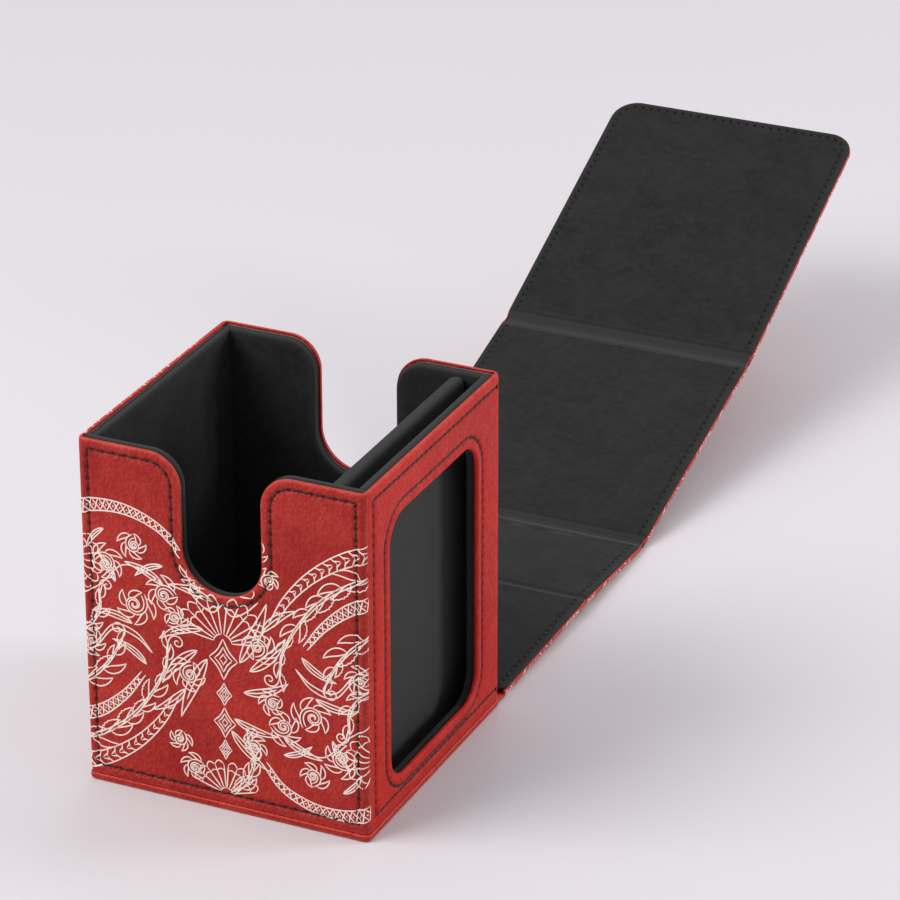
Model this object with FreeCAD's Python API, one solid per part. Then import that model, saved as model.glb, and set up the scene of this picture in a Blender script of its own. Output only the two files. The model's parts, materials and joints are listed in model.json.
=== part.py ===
import FreeCAD, Part
import math
import os

# A deck box for trading cards. Stiff board walls are covered in leather outside and in soft lining
# inside. The front and back walls have a thumb notch, one side wall has a window, and a divider keeps a
# thin display slot behind that window. A flap of four stiff panels hangs from the bottom back edge. It
# folds up the back, over the top and down the front, where two pairs of magnets hold it.
#
# Millimetres. X runs along the front wall, with the window wall at +X. Y runs from the front wall
# towards the flap. Z is up. The origin is the middle of the base, on the surface the box stands on.
# The flap is drawn open, lying on that surface as far as its rear crease and rising from there.

# Box, outside
box_width = 86.0
box_depth = 86.0
box_height = 105.0

# Layers of a wall, from the outside in
wall_skin = 0.9
wall_board = 2.0
wall_lining = 0.8
corner_round = 0.7

# Base plate, which stands a little proud of the walls
base_height = 2.2
base_skin = 0.8
base_proud = 0.3
base_round = 1.2

# Thumb notches in the front and back walls
notch_width = 24.0
notch_depth = 39.0
post_round = 9.5

# Window in the side wall at +X: how wide the wall is left beside it, under it and over it
window_side = 15.0
window_sill = 10.5
window_head = 14.5
window_round = 8.5
window_lining_step = 0.6

# Divider and the display slot between it and the window wall
slot_width = 5.3
divider_thickness = 3.0
divider_board = 1.4
divider_drop = 3.2
divider_round = 4.0

# Seams
seam_inset = 2.9
window_wall_seam_inset = 3.8
window_seam_gap = 3.4
flap_seam_inset = 2.4
seam_end_gap = 1.0
thread_width = 0.5
thread_sunk = 0.3
thread_proud = 0.1

# Flap panels: layers from the outside in, and the room they keep from the closed box
flap_side_gap = 0.1
flap_skin = 0.9
flap_board = 1.2
flap_lining = 0.5
flap_round = 8.5
board_inset = 3.6
closed_gap = 1.2
hem_height = 3.0

# Creases between the panels, each the width between two neighbouring panels
base_hinge_gap = 4.0
back_crease_gap = 1.2
rear_crease_gap = 5.6
front_crease_gap = 6.2
strip_thickness = 1.0
strip_clearance = 0.3

# How the open flap lies: length of the lower back panel, pitch of each panel above the surface
lower_reach = 61.0
lower_pitch = 1.5
top_pitch = 16.0
front_pitch = 24.2
floor_gap = 0.05

# Magnets in the front wall and in the front panel of the flap
magnet_radius = 5.0
wall_magnet_thickness = 1.5
flap_magnet_thickness = 0.9
magnet_side = 19.0
magnet_height = 20.0

# Worked out from the sizes above
half_width = box_width / 2
half_depth = box_depth / 2
wall = wall_skin + wall_board + wall_lining
skin_and_board = wall_skin + wall_board
floor_top = base_height + wall_lining
notch_bottom = box_height - notch_depth
window_width = box_depth - 2 * window_side
window_height = box_height - window_sill - window_head
magnet_spread = box_width - 2 * magnet_side
flap_width = box_width - 2 * flap_side_gap
flap_thickness = flap_skin + flap_board + flap_lining
half_flap = flap_thickness / 2
divider_outer = half_width - wall - slot_width
divider_inner = divider_outer - divider_thickness
divider_top = box_height - divider_drop

# Hinge lines of the flap as (y, z). Closed, each panel stands closed_gap off the box.
hinge_y = half_depth + closed_gap + half_flap
hinge_z = half_flap + 2 * floor_gap
lid_height = box_height + closed_gap + half_flap
upper_reach = lid_height - hinge_z - lower_reach
top_reach = box_depth + 2 * closed_gap + flap_thickness
front_reach = lid_height - hem_height


def along(start, pitch, reach):
    """The point (y, z) that lies reach away from start, at that pitch in degrees."""
    angle = math.radians(pitch)
    return start[0] + reach * math.cos(angle), start[1] + reach * math.sin(angle)


def resting_pitch(height):
    """Pitch at which a panel that starts at that height comes down with its far lower edge on the floor."""
    reach = upper_reach - rear_crease_gap / 2
    drop = height - floor_gap
    return math.degrees(math.atan2(half_flap, reach) - math.asin(drop / math.hypot(reach, half_flap)))


base_hinge = (hinge_y, hinge_z)
back_crease = along(base_hinge, lower_pitch, lower_reach)
upper_pitch = resting_pitch(back_crease[1])
rear_crease = along(back_crease, upper_pitch, upper_reach)
front_crease = along(rear_crease, top_pitch, top_reach)


def vector(axis, u, v, w):
    """A point with w along the axis, and u and v along the other two axes in their usual order."""
    places = {"X": (w, u, v), "Y": (u, w, v), "Z": (u, v, w)}
    return FreeCAD.Vector(*places[axis])


def rounded_wire(corners, axis, level):
    """A closed wire through corners (u, v, radius), across the axis at that level."""
    points = [vector(axis, u, v, level) for u, v, radius in corners]
    starts = []
    ends = []
    middles = []
    for index, (u, v, radius) in enumerate(corners):
        point = points[index]
        before = (points[index - 1] - point).normalize()
        after = (points[(index + 1) % len(points)] - point).normalize()
        half_angle = before.getAngle(after) / 2
        setback = radius / math.tan(half_angle)
        bisector = (before + after).normalize()
        centre = point + bisector * (radius / math.sin(half_angle))
        starts.append(point + before * setback)
        ends.append(point + after * setback)
        middles.append(centre - bisector * radius)
    edges = []
    for index, (u, v, radius) in enumerate(corners):
        if radius > 0:
            edges.append(Part.Arc(starts[index], middles[index], ends[index]).toShape())
        following = starts[(index + 1) % len(corners)]
        if ends[index].distanceToPoint(following) > 1e-6:
            edges.append(Part.LineSegment(ends[index], following).toShape())
    return Part.Wire(edges)


def slab(corners, axis, low, high):
    """A flat piece with that outline, from low to high along the axis."""
    face = Part.Face(rounded_wire(corners, axis, low))
    return face.extrude(vector(axis, 0, 0, high - low))


def rectangle(u_low, u_high, v_low, v_high, radius=0):
    """Corners of a rectangle, all with the same radius."""
    places = ((u_low, v_low), (u_high, v_low), (u_high, v_high), (u_low, v_high))
    return [(u, v, radius) for u, v in places]


def notched_wall(half, bottom, edge):
    """Corners of a wall with a thumb notch. Its top and the notch are drawn edge inside the real ones."""
    top = box_height - edge
    notch = notch_width / 2 + edge
    low = notch_bottom - edge
    post = post_round - edge
    return [
        (-half, bottom, 0), (half, bottom, 0), (half, top, 0), (notch, top, post),
        (notch, low, notch), (-notch, low, notch), (-notch, top, post), (-half, top, 0),
    ]


def window(edge):
    """Corners of the window, drawn edge outside the real one."""
    half = window_width / 2 + edge
    low = window_sill - edge
    high = window_sill + window_height + edge
    return rectangle(-half, half, low, high, window_round + edge)


def band(half, side, shallow, deep):
    """The two coordinates, in order, between depths measured inwards from the outer face at side * half."""
    ends = (side * (half - shallow), side * (half - deep))
    return min(ends), max(ends)


def ring(outline, inset, axis, low, high):
    """A thread line: the strip between two outlines, thread_width apart, with its middle at that inset."""
    outer = slab(outline(inset - thread_width / 2), axis, low, high)
    inner = slab(outline(inset + thread_width / 2), axis, low, high)
    return outer.cut(inner)


def make_base():
    """Base plate: a board in a leather tray, with lining on top."""
    outer_x = half_width + base_proud
    outer_y = half_depth + base_proud
    board_x = outer_x - base_skin
    board_y = outer_y - base_skin
    board = slab(rectangle(-board_x, board_x, -board_y, board_y), "Z", base_skin, base_height)
    tray = slab(rectangle(-outer_x, outer_x, -outer_y, outer_y, base_round), "Z", 0, base_height)
    lined_x = half_width - wall
    lined_y = half_depth - wall
    lining = slab(rectangle(-lined_x, lined_x, -lined_y, lined_y), "Z", base_height, floor_top)
    return {"base_board": board, "base_cover": tray.cut(board), "base_lining": lining}


def make_notched_wall(name, side):
    """Front wall (side -1) or back wall (side +1): leather, board, lining and seam thread."""
    skin = slab(notched_wall(half_width, base_height, 0), "Y", *band(half_depth, side, 0, wall_skin))
    upright = [edge for edge in skin.Edges if is_outer_corner(edge, side)]
    skin = skin.makeFillet(corner_round, upright)
    inside = half_width - wall_skin
    layer = band(half_depth, side, wall_skin, skin_and_board)
    board = slab(notched_wall(inside, base_height, wall_lining), "Y", *layer)
    layer = band(half_depth, side, wall_skin, wall)
    lining = slab(notched_wall(inside, base_height, 0), "Y", *layer).cut(board)
    layer = band(half_depth, side, skin_and_board, wall)
    for low, high in ((-inside, wall_board - inside), (inside - wall_board, inside)):
        lining = lining.cut(slab(rectangle(low, high, base_height, box_height), "Y", *layer))
    depths = band(half_depth, side, -thread_proud, thread_sunk)

    def outline(inset):
        return notched_wall(half_width - inset, base_height + inset, inset)

    thread = ring(outline, seam_inset, "Y", *depths)
    return {
        name + "_board": board, name + "_cover": skin.cut(thread),
        name + "_lining": lining, name + "_thread": thread,
    }


def is_outer_corner(edge, side):
    """True for an upright outer edge at either end of the front or back leather."""
    centre = edge.BoundBox.Center
    is_outer = abs(centre.y - side * half_depth) < 1e-3
    return is_outer and abs(abs(centre.x) - half_width) < 1e-3 and edge.BoundBox.ZLength > box_height / 2


def make_plain_wall(name, side, corner_linings):
    """Side wall (side -1) or window wall (side +1) between the other two, with no openings yet."""
    long_half = half_depth - wall_skin
    short_half = half_depth - skin_and_board
    layer = band(half_width, side, 0, wall_skin)
    skin = slab(rectangle(-long_half, long_half, base_height, box_height), "X", *layer)
    layer = band(half_width, side, wall_skin, skin_and_board)
    board = slab(rectangle(-short_half, short_half, base_height, box_height - wall_lining), "X", *layer)
    layer = band(half_width, side, wall_skin, wall)
    lining = slab(rectangle(-short_half, short_half, base_height, box_height), "X", *layer).cut(board)
    for corner_lining in corner_linings:
        lining = lining.cut(corner_lining)
    return {name + "_board": board, name + "_cover": skin, name + "_lining": lining}


def make_side_wall(corner_linings):
    """Side wall with one seam all round its leather."""
    pieces = make_plain_wall("side", -1, corner_linings)
    depths = band(half_width, -1, -thread_proud, thread_sunk)

    def outline(inset):
        half = half_depth - wall_skin - inset
        return rectangle(-half, half, base_height + inset, box_height - inset)

    pieces["side_thread"] = ring(outline, seam_inset, "X", *depths)
    pieces["side_cover"] = pieces["side_cover"].cut(pieces["side_thread"])
    return pieces


def make_window_wall(corner_linings):
    """Window wall. The leather is turned into the window. Seams run round the window and the wall."""
    pieces = make_plain_wall("window", 1, corner_linings)
    low, high = band(half_width, 1, 0, wall)
    edge_low, edge_high = band(half_width, 1, 0, skin_and_board)
    turned = slab(window(wall_skin), "X", edge_low, edge_high).cut(slab(window(0), "X", edge_low, edge_high))
    pieces["window_board"] = pieces["window_board"].cut(slab(window(wall_skin), "X", low, high))
    flat = pieces["window_cover"].cut(slab(window(0), "X", low, high))
    pieces["window_cover"] = flat.fuse(turned).removeSplitter()
    pieces["window_lining"] = pieces["window_lining"].cut(slab(window(window_lining_step), "X", low, high))
    depths = band(half_width, 1, -thread_proud, thread_sunk)
    back_edge = half_depth - wall_skin

    def outer_outline(inset):
        return rectangle(inset - back_edge, 2 * back_edge, base_height + inset, box_height - inset)

    outer = ring(outer_outline, window_wall_seam_inset, "X", *depths)
    wall_face = slab(rectangle(-back_edge, back_edge, base_height, box_height), "X", *depths)
    pieces["window_outer_thread"] = outer.common(wall_face)
    pieces["window_inner_thread"] = ring(lambda inset: window(-inset), -window_seam_gap, "X", *depths)
    for thread in ("window_outer_thread", "window_inner_thread"):
        pieces["window_cover"] = pieces["window_cover"].cut(pieces[thread])
    return pieces


def make_divider():
    """Divider: a board wrapped in lining, from the front wall to the back wall."""
    reach = half_depth - wall
    cheek = (divider_thickness - divider_board) / 2

    def outline(edge):
        top = divider_top - edge
        corner = divider_round - edge
        return [(-reach, floor_top, 0), (reach, floor_top, 0), (reach, top, corner), (-reach, top, corner)]

    board = slab(outline(cheek), "X", divider_inner + cheek, divider_outer - cheek)
    wrap = slab(outline(0), "X", divider_inner, divider_outer)
    return {"divider_board": board, "divider_wrap": wrap.cut(board)}


def disc_pair(axis, across, up, low, high):
    """Two magnet discs, spread evenly about the middle, from low to high along the axis."""
    discs = []
    for side in (-1, 1):
        centre = vector(axis, side * across, up, low)
        discs.append(Part.makeCylinder(magnet_radius, high - low, centre, vector(axis, 0, 0, 1)))
    return Part.Compound(discs)


def make_wall_magnets():
    """Magnets behind the front leather, let into the board."""
    low, high = band(half_depth, -1, wall_skin, wall_skin + wall_magnet_thickness)
    return disc_pair("Y", magnet_spread / 2, magnet_height, low, high)


def make_base_hinge_strip():
    """Leather strip from the base plate's back edge towards the flap."""
    far = hinge_y + base_hinge_gap / 2 - strip_clearance
    outline = rectangle(-flap_width / 2, flap_width / 2, half_depth + base_proud, far)
    return slab(outline, "Z", hinge_z - strip_thickness / 2, hinge_z + strip_thickness / 2)


def panel_outline(start, end, edge, corner):
    """Corners of a flap panel laid flat, with its sides drawn edge inside the real ones."""
    half = flap_width / 2 - edge
    return [(-half, start, 0), (half, start, 0), (half, end, corner), (-half, end, corner)]


def make_panel_thread(start, end, is_free):
    """Seam along both sides of a panel, on both faces. It also goes round the flap's free end."""
    free_round = flap_round if is_free else 0
    run_on = 0 if is_free else flap_width

    def outline(inset):
        corner = max(free_round - inset, 0)
        return panel_outline(start - flap_width, end + run_on - inset, inset, corner)

    last = end if is_free else end - seam_end_gap
    kept = slab(panel_outline(start + seam_end_gap, last, 0, 0), "Z", -flap_thickness, flap_thickness)
    upper = ring(outline, flap_seam_inset, "Z", half_flap - thread_sunk, half_flap + thread_proud)
    lower = ring(outline, flap_seam_inset, "Z", -half_flap, thread_sunk - half_flap)
    solids = upper.common(kept).Solids + lower.common(kept).Solids
    return Part.Compound(solids)


def make_panel(name, start, end, is_free=False):
    """One stiff panel of the flap, laid flat: its hinge line is the X axis and its lining faces up."""
    free_round = flap_round if is_free else 0
    outline = panel_outline(start, end, 0, free_round)
    skin_top = flap_skin - half_flap
    cover = slab(outline, "Z", -half_flap, skin_top)
    last = end - board_inset if is_free else end
    board_outline = panel_outline(start, last, board_inset, max(free_round - board_inset, 0))
    board = slab(board_outline, "Z", skin_top, skin_top + flap_board)
    lining = slab(outline, "Z", skin_top, half_flap).cut(board)
    thread = make_panel_thread(start, end, is_free)
    return {
        name + "_cover": cover.cut(thread), name + "_board": board,
        name + "_lining": lining.cut(thread), name + "_thread": thread,
    }


def make_strip(reach, gap):
    """Crease strip at the far end of a panel with that reach, laid flat with the panel."""
    half = flap_width / 2
    outline = rectangle(-half, half, reach - gap / 2, reach + gap / 2 - strip_clearance)
    return slab(outline, "Z", -strip_thickness / 2, strip_thickness / 2)


def lay(pieces, hinge, pitch):
    """Puts pieces drawn flat at their hinge line, turned to that pitch."""
    turn = FreeCAD.Rotation(FreeCAD.Vector(1, 0, 0), pitch)
    place = FreeCAD.Placement(FreeCAD.Vector(0, *hinge), turn)
    return {name: shape.transformed(place.toMatrix(), True) for name, shape in pieces.items()}


def make_back_lower():
    """Lower back panel, from the base hinge to the back crease."""
    pieces = make_panel("back_lower", base_hinge_gap / 2, lower_reach - back_crease_gap / 2)
    pieces["back_crease_strip"] = make_strip(lower_reach, back_crease_gap)
    return lay(pieces, base_hinge, lower_pitch)


def make_back_upper():
    """Upper back panel, from the back crease to the rear crease."""
    pieces = make_panel("back_upper", back_crease_gap / 2, upper_reach - rear_crease_gap / 2)
    pieces["rear_crease_strip"] = make_strip(upper_reach, rear_crease_gap)
    return lay(pieces, back_crease, upper_pitch)


def make_lid_top():
    """Panel that lies over the open top, from the rear crease to the front crease."""
    pieces = make_panel("lid_top", rear_crease_gap / 2, top_reach - front_crease_gap / 2)
    pieces["front_crease_strip"] = make_strip(top_reach, front_crease_gap)
    return lay(pieces, rear_crease, top_pitch)


def make_lid_front():
    """Panel that hangs down the front, with two magnets let into its board under the lining."""
    pieces = make_panel("lid_front", front_crease_gap / 2, front_reach, is_free=True)
    board_top = half_flap - flap_lining
    from_crease = lid_height - magnet_height
    magnets = disc_pair("Z", magnet_spread / 2, from_crease, board_top - flap_magnet_thickness, board_top)
    pieces["lid_front_board"] = pieces["lid_front_board"].cut(magnets)
    pieces["lid_magnets"] = magnets
    return lay(pieces, front_crease, front_pitch)


def make_box():
    """Everything that stays still: base, four walls, divider, magnets and the base hinge strip."""
    pieces = make_base()
    pieces.update(make_notched_wall("front", -1))
    pieces.update(make_notched_wall("back", 1))
    corner_linings = (pieces["front_lining"], pieces["back_lining"])
    pieces.update(make_side_wall(corner_linings))
    pieces.update(make_window_wall(corner_linings))
    pieces.update(make_divider())
    pieces["wall_magnets"] = make_wall_magnets()
    pieces["front_board"] = pieces["front_board"].cut(pieces["wall_magnets"])
    pieces["base_hinge_strip"] = make_base_hinge_strip()
    return pieces


bodies = {
    "box": make_box(),
    "back_lower": make_back_lower(),
    "back_upper": make_back_upper(),
    "lid_top": make_lid_top(),
    "lid_front": make_lid_front(),
}

os.makedirs("parts", exist_ok=True)
for body, pieces in bodies.items():
    for node, shape in pieces.items():
        if not shape.isValid():
            raise ValueError(node + " is not a valid shape")
        shape.exportStep("parts/" + node + ".step")
        print(body, node, len(shape.Solids), "solids", round(shape.Volume / 1000, 3), "cm3")
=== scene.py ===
import bmesh
import bpy
import json
import math
import random
import numpy as np
from mathutils import Matrix, Vector
from mathutils.geometry import delaunay_2d_cdt


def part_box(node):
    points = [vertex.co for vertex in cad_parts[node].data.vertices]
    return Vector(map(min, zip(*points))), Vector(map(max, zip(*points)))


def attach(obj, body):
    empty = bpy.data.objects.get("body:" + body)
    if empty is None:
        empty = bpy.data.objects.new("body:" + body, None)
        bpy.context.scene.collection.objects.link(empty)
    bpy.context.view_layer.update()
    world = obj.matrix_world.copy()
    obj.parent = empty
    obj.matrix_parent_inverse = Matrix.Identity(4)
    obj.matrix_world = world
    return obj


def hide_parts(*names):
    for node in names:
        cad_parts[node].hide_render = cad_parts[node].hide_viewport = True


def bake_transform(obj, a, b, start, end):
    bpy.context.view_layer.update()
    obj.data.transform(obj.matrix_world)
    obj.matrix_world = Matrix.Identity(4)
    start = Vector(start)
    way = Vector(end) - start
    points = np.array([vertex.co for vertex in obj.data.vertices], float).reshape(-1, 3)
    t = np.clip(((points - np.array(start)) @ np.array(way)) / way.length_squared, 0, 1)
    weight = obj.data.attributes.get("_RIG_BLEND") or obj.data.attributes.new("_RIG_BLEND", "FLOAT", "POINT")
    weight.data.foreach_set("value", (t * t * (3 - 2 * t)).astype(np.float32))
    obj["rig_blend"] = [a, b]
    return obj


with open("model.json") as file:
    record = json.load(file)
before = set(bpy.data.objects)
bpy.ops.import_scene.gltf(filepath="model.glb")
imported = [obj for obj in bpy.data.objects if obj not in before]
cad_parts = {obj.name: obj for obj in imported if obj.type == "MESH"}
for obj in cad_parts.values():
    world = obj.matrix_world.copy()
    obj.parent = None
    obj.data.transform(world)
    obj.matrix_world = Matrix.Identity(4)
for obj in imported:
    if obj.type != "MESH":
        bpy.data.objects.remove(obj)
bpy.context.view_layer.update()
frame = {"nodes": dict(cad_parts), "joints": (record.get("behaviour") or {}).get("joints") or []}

# Lengths are in millimetres until a mesh is made, which turns them into metres.
MM = 0.001


def node_box(node):
    """Lowest and highest corner of a CAD node, in millimetres."""
    low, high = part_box(node)
    return np.array(low) / MM, np.array(high) / MM


# Sizes read from the CAD model
front_low, front_high = node_box("front_cover")
HALF_X = front_high[0]
HALF_Y = -front_low[1]
WALL_FOOT = front_low[2]
TOP = front_high[2]
SKIN = front_high[1] - front_low[1]
WALL = node_box("front_lining")[1][1] + HALF_Y
FLOOR_TOP = node_box("base_lining")[1][2]
BOARD_DEPTH = node_box("front_board")[1][1] + HALF_Y
FLAP_HALF_WIDTH = node_box("lid_top_cover")[1][0]

# Sizes of the notches, the window and the seams
NOTCH_HALF = 12.0
NOTCH_FOOT = TOP - 39.0
POST_ROUND = 9.5
WINDOW_HALF = 28.0
WINDOW_FOOT = 10.5
WINDOW_HEAD = 90.5
WINDOW_ROUND = 8.5
WINDOW_TURN = 0.9
WINDOW_LINING_STEP = 0.12
SEAM_INSET = 2.9
WINDOW_WALL_SEAM = 3.8
WINDOW_SEAM = 3.4
FLAP_SEAM = 2.4
STITCH_PITCH = 3.4
WINDOW_STITCH_PITCH = 2.9
FLAP_STITCH_PITCH = 2.9
STITCH_RISE = 0.30
STITCH_LEAN = 0.08

# How the leather is turned round the upright corners of the box
CORNER = 2.0
ARC = CORNER * math.pi / 2
STRAIGHT_X = HALF_X - CORNER
STRAIGHT_Y = HALF_Y - CORNER
LAP = 0.1

# Printed lines
INK_WIDTH = 0.37
INK_RISE = 0.045

# Flap layers, measured from the middle of a panel's thickness
FLAP_TOP = 1.3
FLAP_FOOT = -1.3
FLAP_BEND = 0.9
FLAP_SPLIT = 0.65
FLAP_LINING_INSET = 0.15
CREASE_TOP = 0.93
CREASE_FOOT = -1.0
CREASE_SLOPE = 1.3


# ---------------------------------------------------------------- outlines

def rounded_outline(corners, step, arc_step=0.5):
    """Points along the closed outline through corners (u, v, radius), about step apart."""
    count = len(corners)
    starts, ends, arcs = [], [], []
    for index, (u, v, radius) in enumerate(corners):
        here = np.array((u, v), float)
        before = np.array(corners[index - 1][:2], float) - here
        after = np.array(corners[(index + 1) % count][:2], float) - here
        before /= np.linalg.norm(before)
        after /= np.linalg.norm(after)
        half_angle = math.acos(float(np.clip(before @ after, -1, 1))) / 2
        setback = radius / math.tan(half_angle)
        bisector = (before + after) / np.linalg.norm(before + after)
        centre = here + bisector * radius / math.sin(half_angle)
        starts.append(here + before * setback)
        ends.append(here + after * setback)
        turn = math.pi - 2 * half_angle
        pieces = max(2, math.ceil(radius * turn / arc_step)) if radius > 0 else 0
        first = math.atan2(*(starts[-1] - centre)[::-1])
        sign = -1 if before[0] * after[1] - before[1] * after[0] > 0 else 1
        arcs.append([
            centre + radius * np.array((math.cos(a), math.sin(a)))
            for a in (first + sign * turn * k / pieces for k in range(1, pieces))
        ] if pieces else [])
    points = []
    for index in range(count):
        points.append(starts[index])
        points.extend(arcs[index])
        if np.linalg.norm(ends[index] - starts[index]) > 1e-6:
            points.append(ends[index])
        following = starts[(index + 1) % count]
        length = np.linalg.norm(following - ends[index])
        pieces = max(1, math.ceil(length / step))
        for k in range(1, pieces):
            points.append(ends[index] + (following - ends[index]) * k / pieces)
    kept = [points[0]]
    for point in points[1:]:
        if np.linalg.norm(point - kept[-1]) > 1e-5:
            kept.append(point)
    if np.linalg.norm(kept[-1] - kept[0]) < 1e-5:
        kept.pop()
    return np.array(kept)


def insets(corners, steps, length, arc_step=0.5):
    """Closed lines inside an outline, whose corners(edge) are drawn edge inside it."""
    return [(rounded_outline(corners(step), length, arc_step), True) for step in steps]


def rectangle(u_low, u_high, v_low, v_high, radius=0.0):
    """Corners of a rectangle, anticlockwise."""
    return [(u, v, radius) for u, v in ((u_low, v_low), (u_high, v_low), (u_high, v_high), (u_low, v_high))]


def notched(half, foot, edge, foot_round=0.0, side_edge=None):
    """Corners of a wall with a thumb notch, with its top and its notch drawn edge inside."""
    top = TOP - edge
    notch = NOTCH_HALF + edge
    low = NOTCH_FOOT - edge
    post = max(POST_ROUND - edge, 0.2)
    side = half - (edge if side_edge is None else side_edge)
    base = foot + (edge if side_edge is None else side_edge)
    return [
        (-side, base, foot_round), (side, base, foot_round), (side, top, foot_round), (notch, top, post),
        (notch, low, notch - 0.001), (-notch, low, notch - 0.001), (-notch, top, post), (-side, top, foot_round),
    ]


def nearest(points, line, closed=True):
    """For each point, its distance to the line and how far along the line that is."""
    line = np.asarray(line, float)
    starts = line if closed else line[:-1]
    ends = np.roll(line, -1, axis=0) if closed else line[1:]
    steps = ends - starts
    lengths = np.linalg.norm(steps, axis=1)
    before = np.concatenate(([0], np.cumsum(lengths)[:-1]))
    best = np.empty(len(points))
    along = np.empty(len(points))
    for first in range(0, len(points), 4000):
        part = points[first:first + 4000]
        offset = part[:, None, :] - starts[None]
        share = np.clip((offset * steps[None]).sum(2) / (lengths ** 2)[None], 0, 1)
        gap = offset - share[..., None] * steps[None]
        distance = np.sqrt((gap ** 2).sum(2))
        index = distance.argmin(1)
        row = np.arange(len(part))
        best[first:first + 4000] = distance[row, index]
        along[first:first + 4000] = before[index] + share[row, index] * lengths[index]
    return best, along


def inside(points, loop):
    """True for each point within the closed loop."""
    x, y = points[:, 0], points[:, 1]
    result = np.zeros(len(points), bool)
    for a, b in zip(loop, np.roll(loop, -1, axis=0)):
        crosses = (a[1] > y) != (b[1] > y)
        if crosses.any() and a[1] != b[1]:
            result ^= crosses & (x < (b[0] - a[0]) * (y - a[1]) / (b[1] - a[1]) + a[0])
    return result


def in_region(points, loops):
    """True for each point within the first loop and outside the others."""
    result = inside(points, loops[0])
    for hole in loops[1:]:
        result &= ~inside(points, hole)
    return result


def scattered(loops, lines, step, clear):
    """Points of a triangular lattice inside the loops, clear of every line."""
    low, high = loops[0].min(0), loops[0].max(0)
    points = []
    row = 0
    v = low[1] + step / 2
    while v < high[1]:
        shift = step / 2 if row % 2 else 0
        points.extend((u, v) for u in np.arange(low[0] + shift + step / 2, high[0], step))
        v += step * 0.87
        row += 1
    points = np.array(points)
    points = points[in_region(points, loops)]
    for line, closed in lines:
        points = points[nearest(points, line, closed)[0] > clear]
    return points


def path_length(line, closed=True):
    """How long a line is."""
    steps = np.diff(np.vstack([line, line[:1]]) if closed else line, axis=0)
    return np.linalg.norm(steps, axis=1).sum()


def points_along(line, places, closed=True):
    """Points on the line at those distances along it, and its direction there."""
    path = np.vstack([line, line[:1]]) if closed else np.asarray(line, float)
    steps = np.diff(path, axis=0)
    lengths = np.linalg.norm(steps, axis=1)
    ends = np.cumsum(lengths)
    index = np.clip(np.searchsorted(ends, places), 0, len(steps) - 1)
    share = (places - (ends[index] - lengths[index])) / lengths[index]
    return path[index] + steps[index] * share[:, None], steps[index] / lengths[index][:, None]


def smooth(t):
    """Eases from 0 to 1."""
    t = np.clip(t, 0, 1)
    return t * t * (3 - 2 * t)


def rounding(distance, radius):
    """How far a rounded edge has dropped at that distance from the edge."""
    t = 1 - np.clip(distance / radius, 0, 1)
    return radius * (1 - np.sqrt(np.clip(1 - t * t, 0, 1)))


def ripple(points, size, height, seed):
    """Gentle unevenness: a sum of long waves in fixed random directions."""
    draw = random.Random(seed)
    total = np.zeros(len(points))
    for _ in range(7):
        angle = draw.uniform(0, math.pi)
        wave = 2 * math.pi / (size * draw.uniform(0.7, 1.8))
        phase = draw.uniform(0, 2 * math.pi)
        total += np.sin((points[:, 0] * math.cos(angle) + points[:, 1] * math.sin(angle)) * wave + phase)
    return total * height / 7


# ---------------------------------------------------------------- meshes

def fill(loops, lines=(), spots=()):
    """Vertices and triangles that fill the loops, with the lines kept as edges, and where each loop went."""
    points, edges = [], []
    for line, closed in [(loop, True) for loop in loops] + list(lines):
        first = len(points)
        points.extend(Vector(point) for point in line)
        edges.extend((k, k + 1) for k in range(first, len(points) - 1))
        if closed:
            edges.append((len(points) - 1, first))
    points.extend(Vector(point) for point in spots)
    verts, _, faces, origins, _, _ = delaunay_2d_cdt(points, edges, [], 0, 1e-4)
    flat = np.array([vert[:] for vert in verts])
    faces = np.array([face for face in faces if len(face) == 3])
    faces = faces[in_region(flat[faces].mean(1), loops)]
    where = {}
    for result, sources in enumerate(origins):
        for source in sources:
            where[source] = result
    used = np.unique(faces)
    new = np.full(len(flat), -1)
    new[used] = np.arange(len(used))
    chains, first = [], 0
    for loop in loops:
        chains.append(np.array([new[where[first + k]] for k in range(len(loop))]))
        first += len(loop)
    return flat[used], new[faces], chains


def with_crossings(loops, lines):
    """The loops with a point added wherever a line meets them, the outer one first."""
    flat, faces, _ = fill(loops, lines)
    edges = {(a, b) for face in faces.tolist() for a, b in zip(face, face[1:] + face[:1])}
    following = {a: b for a, b in edges if (b, a) not in edges}
    found = []
    while following:
        chain = [next(iter(following))]
        while chain[-1] in following:
            chain.append(following.pop(chain[-1]))
        found.append(flat[chain[:-1]])
    return sorted(found, key=lambda loop: -np.ptp(loop[:, 0]) * np.ptp(loop[:, 1]))


def inward(loop, is_hole):
    """Direction into the sheet at each point of one of its loops."""
    along = np.roll(loop, -1, axis=0) - np.roll(loop, 1, axis=0)
    along /= np.linalg.norm(along, axis=1)[:, None]
    area = np.sum(loop[:, 0] * np.roll(loop[:, 1], -1) - np.roll(loop[:, 0], -1) * loop[:, 1])
    sign = (1 if area > 0 else -1) * (-1 if is_hole else 1)
    return np.column_stack([-along[:, 1], along[:, 0]]) * sign


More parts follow.
